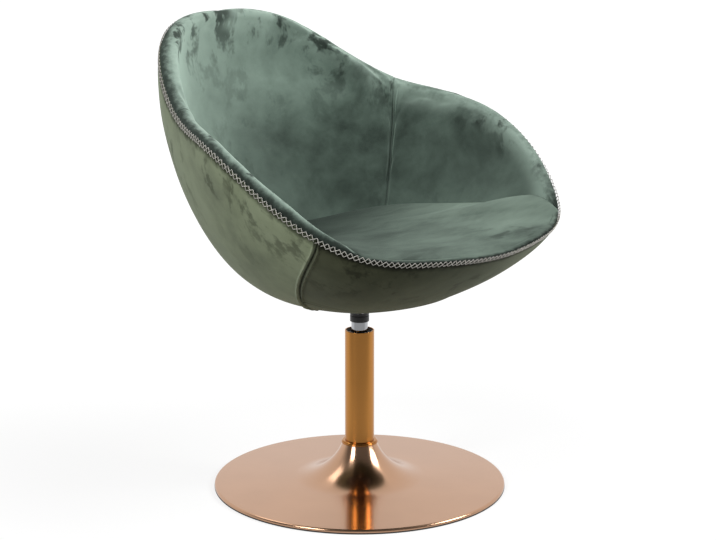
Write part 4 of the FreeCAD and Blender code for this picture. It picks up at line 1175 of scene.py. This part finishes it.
@dataclass
class OuterCover:
    """Outer cover: a front and a rear panel with lapped side seams and a hem seam below.

    The two runs are the metres of profile for a whole share of it, at the rim and at the hem.
    """

    thickness: float = 0.0038
    pitch: float = 0.0075
    fine: float = 0.0006
    ridge_place: float = 0.0042
    ridge_height: float = 0.0024
    ridge_width: float = 0.0013
    groove_depth: float = 0.0024
    groove_width: float = 0.0020
    hem_share: float = 0.29
    hem_depth: float = 0.0014
    hem_width: float = 0.0022
    hem_zone: float = 0.012
    hem_rows: int = 9
    hem_clear: float = 0.016
    plain_end: float = 0.965
    plain_rows: int = 74
    fold_place: float = 0.005
    fold_width: float = 0.002
    fold_share: float = 0.8
    wobble: float = 0.3
    seam_shadow: float = 0.0018
    hem_shadow: float = 0.003
    seam_gap: float = 0.00015
    rim_gap: float = 0.0004
    rim_rows: tuple[float, ...] = (0.0, 0.0008, 0.0016, 0.0025, 0.0036, 0.005, 0.007)
    rim_run: float = 0.255
    hem_run: float = 0.42
    uneven_height: float = 0.0009
    uneven_pitch: float = 0.09

    def shares(self) -> Array:
        """Shares of the profile for the rows, closer at the rim and at the hem."""
        top = 1.0 - self.rim_gap / self.rim_run
        near_rim = top - np.array(self.rim_rows) / self.rim_run
        hem = self.hem_share + np.linspace(-self.hem_zone, self.hem_zone, self.hem_rows)
        rest = np.linspace(0.0, self.plain_end, self.plain_rows)
        rest = rest[np.abs(rest - self.hem_share) > self.hem_clear]
        return np.unique(np.concatenate([rest, hem, near_rim]))

    def relief(self, angle: Array, share: Array) -> tuple[Array, Array, Array]:
        """How far the cloth sinks, and how much painted shadow lies in the side seam's groove and
        under the hem fold, at places on the cover.

        Args:
            angle: degrees from the front.
            share: share of the profile.

        Returns:
            Depths, negative on a ridge, distance to the rim seam and painted shadow from 0 to 1.
        """
        point, _, _ = FORM.profile(angle, share)
        aside = FORM.from_front(angle) - FORM.seam_angle(share)
        across = np.abs(aside) * np.pi / 180.0 * point[..., 0]
        ridge = self.ridge_height * bell(across - self.ridge_place, self.ridge_width)
        groove = self.groove_depth * bell(across, self.groove_width)
        wobble = 1.0 + self.wobble * np.sin(share * 97.0 + 1.3) * np.sin(share * 23.0)
        rim = (1.0 - share) * self.rim_run
        front = aside < 0.0
        hem = (share - self.hem_share) * self.hem_run
        hem_line = self.hem_depth * bell(hem, self.hem_width) * front
        fold = bell(hem - self.fold_place, self.fold_width)
        hem_fold = self.fold_share * self.hem_depth * fold * front
        sink = (groove - ridge) * wobble + GROOVE.sink(rim) + hem_line - hem_fold
        # Painted shadow in the side seam's groove and below the hem's fold.
        dark = bell(across, self.seam_shadow)
        dark = np.maximum(dark, 0.6 * bell(hem, self.hem_shadow) * front)
        return sink, rim, dark

    def panel(
        self, name: str, first: Callable[[Array], Array],
        last: Callable[[Array], Array],
    ) -> Piece:
        """Build one panel between two seams, given as angles over the profile."""
        shares = self.shares()
        width = math.radians(float(last(np.array(1.0)) - first(np.array(1.0))))
        places = graded(width * FORM.rim_radius.values[3], self.pitch, self.fine, True, True)
        low, high = first(shares)[:, None], last(shares)[:, None]
        angles = low + (high - low) * places[None, :]
        grid = np.broadcast_to(shares[:, None], angles.shape)
        sink, rim, dark = self.relief(angles, grid)
        outer = FORM.placed(angles, FORM.wall(angles, grid, sink))
        inner = FORM.placed(angles, FORM.wall(angles, grid, np.full_like(sink, self.thickness)))
        rows, columns = angles.shape
        points = np.concatenate([outer.reshape(-1, 3), inner.reshape(-1, 3)])
        hidden = np.full(rows * columns, FAR)
        shades = {
            "seam_near": np.concatenate([dark.ravel(), 0.0 * hidden]),
            "rim_gap": np.concatenate([rim.ravel(), hidden]),
        }
        piece = finished_mesh(name, points, slab_faces(rows, columns), attributes=shades)
        normals = vertex_normals(piece)
        normals[rows * columns:] = 0.0
        roughen(piece, normals, self.uneven_height, self.uneven_pitch)
        return piece

    def build(self) -> None:
        """Build and dress both panels."""
        cut = math.degrees(self.seam_gap / FORM.rim_radius.values[3])
        front = self.panel(
            "front_cover_panel",
            lambda t: -(FORM.seam_angle(t) - cut),
            lambda t: FORM.seam_angle(t) - cut,
        )
        rear = self.panel(
            "rear_cover_panel",
            lambda t: FORM.seam_angle(t) + cut,
            lambda t: 360.0 - FORM.seam_angle(t) - cut,
        )
        front_shaded_cloth = VELVETS[Nap.FRONT_COVER_SHADED].material()
        rear_cloth = VELVETS[Nap.REAR_COVER].material()
        dressed(front, front_shaded_cloth, Body.SEAT, ["front_cover"])
        dressed(rear, rear_cloth, Body.SEAT, ["rear_cover"])


@dataclass
class RimStitching:
    """Cross-stitch in cream thread all the way round the rim seam."""

    pitch: float = 0.0095
    width: float = 0.0102
    length: float = 0.0090
    thread: float = 0.00060
    arch: float = 0.0015
    clear: float = 0.0004
    tilt: float = 0.12
    seed: int = 7

    def guide(self) -> Piece:
        """Closed line along the rim seam that carries its own and the outward direction."""
        angles = np.linspace(0.0, 360.0, 720, endpoint=False)
        _, up, inward = FORM.profile(angles, 1.0)
        line = FORM.placed(angles, FORM.wall(angles, 1.0, np.full_like(angles, -self.clear)))
        along = np.roll(line, -1, axis=0) - np.roll(line, 1, axis=0)
        along /= np.linalg.norm(along, axis=1, keepdims=True)
        outward = np.cross(along, FORM.placed(angles, up))
        outward /= np.linalg.norm(outward, axis=1, keepdims=True)
        aside = np.sum(outward * FORM.placed(angles, -inward), axis=1, keepdims=True)
        outward *= np.sign(aside)
        mesh = bpy.data.meshes.new("rim_line")
        edges = [(i, (i + 1) % len(angles)) for i in range(len(angles))]
        mesh.from_pydata([tuple(map(float, p)) for p in line], edges, [])
        for key, way in (("outward", outward), ("along", along)):
            layer = mesh.attributes.new(key, "FLOAT_VECTOR", "POINT")
            layer.data.foreach_set("vector", way.astype(np.float32).ravel())
        return linked("rim_line", mesh)

    def tree(self, material: bpy.types.Material) -> bpy.types.NodeTree:
        """Node tree that sets crosses along a line."""
        tree = bpy.data.node_groups.new("cross_stitch", "GeometryNodeTree")
        face = tree.interface
        face.new_socket("Line", in_out="INPUT", socket_type="NodeSocketGeometry")
        for key in ("Pitch", "Width", "Length", "Thread Radius", "Arch", "Tilt"):
            face.new_socket(key, in_out="INPUT", socket_type="NodeSocketFloat")
        face.new_socket("Stitches", in_out="OUTPUT", socket_type="NodeSocketGeometry")
        graph = Graph(tree)
        given = graph.add("NodeGroupInput").outputs
        curve = graph.add("GeometryNodeMeshToCurve", {"Mesh": given["Line"]}).outputs["Curve"]
        spaced = graph.add(
            "GeometryNodeResampleCurve", {"Curve": curve, "Length": given["Pitch"]}, mode="LENGTH"
        ).outputs["Curve"]
        strands = graph.add("GeometryNodeJoinGeometry")
        length, width = given["Length"], given["Width"]
        for side in (-1.0, 1.0):
            start, end = (
                graph.add(
                    "ShaderNodeCombineXYZ",
                    {
                        0: graph.times(length, 0.5 * way),
                        1: graph.times(width, 0.5 * way * side),
                    },
                ).outputs[0]
                for way in (-1.0, 1.0)
            )
            lift = graph.math("ADD", given["Arch"], side * 0.5 * self.thread)
            over = graph.add("ShaderNodeCombineXYZ", {2: lift}).outputs[0]
            strand = graph.add(
                "GeometryNodeCurveQuadraticBezier",
                {"Resolution": 4, "Start": start, "Middle": over, "End": end},
            )
            tree.links.new(strand.outputs[0], strands.inputs[0])
        section = graph.add(
            "GeometryNodeCurvePrimitiveCircle", {"Resolution": 5, "Radius": given["Thread Radius"]}
        )
        cross = graph.add(
            "GeometryNodeCurveToMesh",
            {"Curve": strands.outputs[0], "Profile Curve": section.outputs[0], "Fill Caps": True},
        )
        outward, along = (
            graph.add(
                "GeometryNodeInputNamedAttribute", {"Name": key}, data_type="FLOAT_VECTOR"
            ).outputs[0]
            for key in ("outward", "along")
        )
        turn = graph.add(
            "FunctionNodeAlignRotationToVector", {"Vector": outward}, axis="Z"
        )
        turn = graph.add(
            "FunctionNodeAlignRotationToVector",
            {"Rotation": turn.outputs[0], "Vector": along},
            axis="X", pivot_axis="Z",
        )
        uneven = graph.add(
            "FunctionNodeRandomValue",
            {"Min": graph.times(given["Tilt"], -1.0), "Max": given["Tilt"],
             "Seed": self.seed},
            data_type="FLOAT",
        )
        nudge = graph.add("FunctionNodeAxisAngleToRotation", {"Angle": uneven.outputs[1]})
        turned = graph.add(
            "FunctionNodeRotateRotation",
            {"Rotation": turn.outputs[0], "Rotate By": nudge.outputs[0]},
            rotation_space="LOCAL",
        )
        placed = graph.add(
            "GeometryNodeInstanceOnPoints",
            {"Points": spaced, "Instance": cross.outputs[0], "Rotation": turned.outputs[0]},
        )
        solid = graph.add("GeometryNodeRealizeInstances", {"Geometry": placed.outputs[0]})
        painted = graph.add(
            "GeometryNodeSetMaterial", {"Geometry": solid.outputs[0], "Material": material}
        )
        graph.add("NodeGroupOutput", {"Stitches": painted.outputs[0]})
        return tree

    def build(self) -> None:
        """Build and dress the stitches."""
        thread = FINISHES["thread"].material()
        line = self.guide()
        modifier = line.modifiers.new("stitching", "NODES")
        modifier.node_group = self.tree(thread)
        values = {
            "Pitch": self.pitch, "Width": self.width, "Length": self.length,
            "Thread Radius": self.thread, "Arch": self.arch, "Tilt": self.tilt,
        }
        for item in modifier.node_group.interface.items_tree:
            if item.name in values:
                modifier[item.identifier] = values[item.name]
        solved = line.evaluated_get(bpy.context.evaluated_depsgraph_get())
        mesh = bpy.data.meshes.new_from_object(solved)
        line.modifiers.remove(modifier)
        bpy.data.objects.remove(line)
        mesh.name = "rim_stitching"
        mesh.shade_smooth()
        piece = linked("rim_stitching", mesh)
        dressed(piece, thread, Body.SEAT)


# Pedestal


def arc(centre: Pair, radius: float, turns: Array) -> list[Pair]:
    """Points of an arc in a section."""
    return [(centre[0] + radius * math.cos(a), centre[1] + radius * math.sin(a)) for a in turns]


@dataclass
class Pedestal:
    """Spun base, column with its rings, and the spindle that carries the seat."""

    base_radius: float = 0.250
    sheet: float = 0.0015
    rim_bend: float = 0.0035
    rim_top: float = 0.0075
    saucer_radius: float = 0.114
    saucer_height: float = 0.0145
    neck_radius: float = 0.0295
    neck_height: float = 0.0745
    edge_height: float = 0.0025
    sweep_pieces: int = 40
    ledge_width: float = 0.0122
    lip_width: float = 0.0042
    lip_height: float = 0.001
    column_bore: float = 0.023
    column_fillet: float = 0.0008
    ring_bore: float = 0.02505
    waist_step: float = 0.002
    bush_bore: float = 0.01405
    bush_dish: float = 0.01645
    dish_depth: float = 0.0025
    spindle_bore: float = 0.0115
    spindle_fillet: float = 0.0003
    socket_bore: float = 0.01335
    mark_step: float = 0.0006

    def disc_outline(self) -> list[Pair]:
        """Outline of the spun sheet: saucer, sweep up to the neck and turned-down rim."""
        tilt = math.atan(
            (self.saucer_height - self.rim_top)
            / (self.base_radius - self.rim_bend - self.saucer_radius)
        )
        run = self.neck_radius - self.saucer_radius
        rise = self.neck_height - self.saucer_height
        sweep = (run**2 + rise**2) / (2 * (rise * math.cos(tilt) + run * math.sin(tilt)))
        centre = (
            self.saucer_radius + sweep * math.sin(tilt),
            self.saucer_height + sweep * math.cos(tilt),
        )
        first = math.atan2(self.neck_height - centre[1], self.neck_radius - centre[0])
        last = math.atan2(self.saucer_height - centre[1], self.saucer_radius - centre[0])
        if first > 0.0:
            first -= 2.0 * math.pi
        turns = np.linspace(first, last, self.sweep_pieces)
        top = arc(centre, sweep, turns)
        below = arc(centre, sweep + self.sheet, turns)
        bend = np.linspace(math.pi / 2.0, 0.0, 9)
        hub = (self.base_radius - self.rim_bend, self.rim_top - self.rim_bend)
        over = arc(hub, self.rim_bend, bend)
        inside = arc(hub, self.rim_bend - self.sheet, bend[::-1])
        (x, y), (far_x, far_y) = top[-1], over[0]
        slope = [
            (x + share * (far_x - x), y + share * (far_y - y))
            for share in np.linspace(0.0, 1.0, 14)[1:-1]
        ]
        lip = [
            (self.base_radius, self.edge_height),
            (self.base_radius - self.sheet, self.edge_height),
        ]
        return top + slope + over + lip + inside + list(reversed(below))

    def turned(
        self, name: str, node: str, outline: Sequence[Pair], slot: str,
        body: Body, segments: int = 192, finish: Optional[str] = None,
    ) -> None:
        """Build and dress one turned piece that stands for a node."""
        piece = lathe(name, outline, segments)
        dressed(piece, FINISHES[finish or slot].material(), body, [node])

    def tube(self, node: str, bore: float, fillet: float) -> list[Pair]:
        """Outline of a plain tube as long and as wide as its node."""
        low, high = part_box(node)
        return rounded(
            [
                (bore, low.z, 0.0),
                (high.x, low.z, 0.0),
                (high.x, high.z, fillet),
                (bore, high.z, 0.4 * fillet),
            ]
        )

    def build(self) -> None:
        """Build and dress every turned piece."""
        self.turned("base_plate", "base_disc", self.disc_outline(), "copper", Body.BASE, 256)
        low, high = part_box("base_edge_ring")
        ledge = high.x - self.ledge_width
        lip = ledge + self.lip_width
        edge = rounded(
            [(ledge, low.z, 0.0), (high.x, low.z, 0.0008), (high.x, high.z, 0.0003),
             (lip, high.z, 0.0), (lip, self.lip_height, 0.0), (ledge, self.lip_height, 0.0)]
        )
        self.turned("base_edge", "base_edge_ring", edge, "rubber", Body.BASE, 256)
        column = self.tube("column_tube", self.column_bore, self.column_fillet)
        copper = "column_copper"
        self.turned("column", "column_tube", column, "copper", Body.BASE, 128, copper)
        low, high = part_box("column_foot_ring")
        inner, outer, waist = self.ring_bore, high.x, high.x - self.waist_step
        ring = rounded(
            [(inner, low.z, 0.0), (outer, low.z, 0.0009), (outer, low.z + 0.0028, 0.0013),
             (waist, low.z + 0.0031, 0.0), (waist, low.z + 0.0036, 0.0),
             (waist + 0.0006, low.z + 0.0040, 0.0004), (waist - 0.0006, high.z, 0.0006),
             (inner, high.z, 0.0)]
        )
        self.turned("column_ring", "column_foot_ring", ring, "copper", Body.BASE, 128, copper)
        low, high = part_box("guide_bush")
        dish, bore = high.z - self.dish_depth, self.bush_bore
        bush = rounded(
            [(bore, low.z, 0.0), (high.x, low.z, 0.0), (high.x, high.z, 0.0004),
             (high.x - 0.0024, high.z, 0.0006), (high.x - 0.0034, dish, 0.0006),
             (self.bush_dish, dish, 0.0006), (bore, high.z - 0.001, 0.0004)]
        )
        self.turned("column_bush", "guide_bush", bush, "black_plastic", Body.BASE, 96)
        spindle = self.tube("spindle_tube", self.spindle_bore, self.spindle_fillet)
        self.turned("spindle", "spindle_tube", spindle, "chrome", Body.SEAT, 96)
        low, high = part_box("spindle_socket")
        mark, bore = high.x - self.mark_step, self.socket_bore
        socket = rounded(
            [(self.bush_bore, low.z, 0.0004), (high.x, low.z, 0.0014),
             (high.x, low.z + 0.0098, 0.0004), (mark, low.z + 0.0104, 0.0002),
             (mark, low.z + 0.0112, 0.0002), (high.x, low.z + 0.0118, 0.0004),
             (high.x, high.z, 0.0), (bore, high.z, 0.0), (bore, high.z - 0.003, 0.0)]
        )
        self.turned("seat_socket", "spindle_socket", socket, "black_metal", Body.SEAT, 96)


def paint_kept_nodes() -> None:
    """Give every CAD node that still shows the procedural finish of its own slot."""
    slots = {row["node"]: row["material_slot"] for row in frame["record"]["subparts"]}
    made: dict[str, bpy.types.Material] = {}
    for name, node in frame["nodes"].items():
        if node.hide_render:
            continue
        slot = slots[name]
        if slot not in made:
            made[slot] = FINISHES[slot].material()
        node.data.materials.clear()
        node.data.materials.append(made[slot])
        log.info("%-18s keeps its own shape, in %s", name, made[slot].name)


# Studio


@dataclass(frozen=True)
class Lamp:
    """Soft box: its place, the point it is aimed at, its two sides and its power in watts."""

    name: str
    place: Colour
    target: Colour
    size: Pair
    power: float


LAMPS = (
    Lamp("right_light", (1.4, -2.1, 1.9), (0.0, 0.1, 0.6), (1.2, 1.2), 66.0),
    Lamp("left_light", (-2.6, 0.0, 1.9), (0.0, 0.0, 0.5), (0.9, 1.4), 40.0),
    Lamp("back_light", (-0.3, 1.6, 2.5), (0.0, 0.0, 0.6), (1.4, 1.0), 9.0),
)


@dataclass
class Studio:
    """Pale floor, soft light and the camera at the photograph's angle."""

    camera_place: Colour = (-2.3653, -2.0701, 1.1055)
    camera_azimuth: float = 48.81
    camera_fall: float = 12.789
    lens: float = 96.18
    shift: Pair = (-0.0023, -0.01166)
    away: Colour = (0.752, 0.659, 0.0)
    world_level: float = 0.30
    mirror_front: float = 0.16
    floor_front: float = 0.58
    floor_glow: Pair = (0.74, 1.0)
    floor_tone: float = 0.30
    floor_bounce: float = 0.38
    floor_fade: Pair = (0.5, 2.6)
    floor_reach: float = 14.0
    floor_drop: float = 0.0002

    def lamp(self, given: Lamp) -> None:
        """Set a soft box at its place, aimed at its target."""
        light = bpy.data.lights.new(given.name, "AREA")
        light.shape = "RECTANGLE"
        light.size, light.size_y = given.size
        light.energy = given.power
        lamp = linked(given.name, light)
        lamp.location = given.place
        way = Vector(given.target) - Vector(given.place)
        lamp.rotation_euler = way.to_track_quat("-Z", "Y").to_euler()

    def along_view(
        self, graph: Graph, way: Socket, near: float, low: float, high: float
    ) -> Socket:
        """Level that rises from the front-left of the room to the back-right of it."""
        share = graph.vector("DOT_PRODUCT", way, self.away)
        return graph.eased(share, low, high, near, 1.0)

    def background(self, graph: Graph, strength: object) -> Socket:
        """White background light of a strength."""
        inputs = {"Color": (1.0, 1.0, 1.0, 1.0), "Strength": strength}
        return graph.add("ShaderNodeBackground", inputs).outputs[0]

    def by_ray(
        self, graph: Graph, plain: Socket, mirrored: Socket, seen: Socket
    ) -> bpy.types.Node:
        """Shader with one look for diffuse light, one for reflections and one for the camera."""
        path = graph.add("ShaderNodeLightPath").outputs
        gloss = graph.larger(path["Is Glossy Ray"], path["Is Transmission Ray"])
        both = graph.add("ShaderNodeMixShader", {0: gloss, 1: plain, 2: mirrored}).outputs[0]
        return graph.add("ShaderNodeMixShader", {0: path["Is Camera Ray"], 1: both, 2: seen})

    def world(self) -> None:
        """White backdrop; a dim even light on cloth, and a bright far side for metal."""
        world = bpy.data.worlds.new("studio")
        world.use_nodes = True
        bpy.context.scene.world = world
        graph = Graph(world.node_tree)
        way = graph.add("ShaderNodeTexCoord").outputs["Generated"]
        height = graph.add("ShaderNodeSeparateXYZ", {"Vector": way}).outputs[2]
        level = graph.ranged(height, -0.2, 0.9, 0.5, 1.2)
        soft = self.background(graph, graph.times(level, self.world_level))
        level = self.along_view(graph, way, self.mirror_front, -0.35, 0.45)
        mirrored = self.background(graph, level)
        both = self.by_ray(graph, soft, mirrored, self.background(graph, 1.0))
        graph.add("ShaderNodeOutputWorld", {"Surface": both.outputs[0]})

    def floor(self) -> None:
        """Pale floor that keeps the chair's shadow and runs out into the white backdrop."""
        mesh = bpy.data.meshes.new("floor")
        reach = self.floor_reach
        corners = [(-reach, -reach), (reach, -reach), (reach, reach), (-reach, reach)]
        mesh.from_pydata([(x, y, 0.0) for x, y in corners], [], [(0, 1, 2, 3)])
        floor = linked("floor", mesh)
        floor.location.z = -self.floor_drop
        made, graph = new_material("pale_floor")
        where = graph.place()
        glow = graph.ranged(graph.vector("LENGTH", where), *self.floor_fade, *self.floor_glow)
        tones = [(value, value, value, 1.0) for value in (self.floor_bounce, self.floor_tone)]
        plain, lit = (
            graph.add("ShaderNodeBsdfDiffuse", {"Color": tone}).outputs[0] for tone in tones
        )
        shine = graph.add("ShaderNodeEmission", {"Strength": glow}).outputs[0]
        shown = graph.add("ShaderNodeAddShader", {0: lit, 1: shine}).outputs[0]
        level = self.along_view(graph, where, self.floor_front, -0.8, 0.3)
        mirrored = graph.add("ShaderNodeEmission", {"Strength": level}).outputs[0]
        surface(graph, self.by_ray(graph, plain, mirrored, shown))
        mesh.materials.append(made)

    def camera(self) -> None:
        """Camera at the photograph's viewing angle."""
        data = bpy.data.cameras.new("camera")
        data.lens = self.lens
        data.sensor_width = 36.0
        data.shift_x, data.shift_y = self.shift
        data.clip_end = 60.0
        camera = linked("camera", data)
        turn, fall = math.radians(self.camera_azimuth), math.radians(self.camera_fall)
        way = Vector(
            (math.sin(turn) * math.cos(fall), math.cos(turn) * math.cos(fall), -math.sin(fall))
        )
        camera.matrix_world = Matrix.Translation(self.camera_place) @ way.to_track_quat(
            "-Z", "Y"
        ).to_matrix().to_4x4()
        bpy.context.scene.camera = camera

    def build(self) -> None:
        """Set up floor, light and camera."""
        bpy.context.scene.view_settings.view_transform = "Standard"
        self.world()
        self.floor()
        self.camera()
        for given in LAMPS:
            self.lamp(given)


def main() -> None:
    """Build every part of the chair and the studio around it."""
    logging.basicConfig(level=logging.INFO, format="%(message)s")
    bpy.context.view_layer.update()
    for part in (Pedestal(), OuterCover(), Padding(), Seat(), RimStitching()):
        part.build()
    paint_kept_nodes()
    Studio().build()
    bpy.context.view_layer.update()


if __name__ == "__main__":
    main()
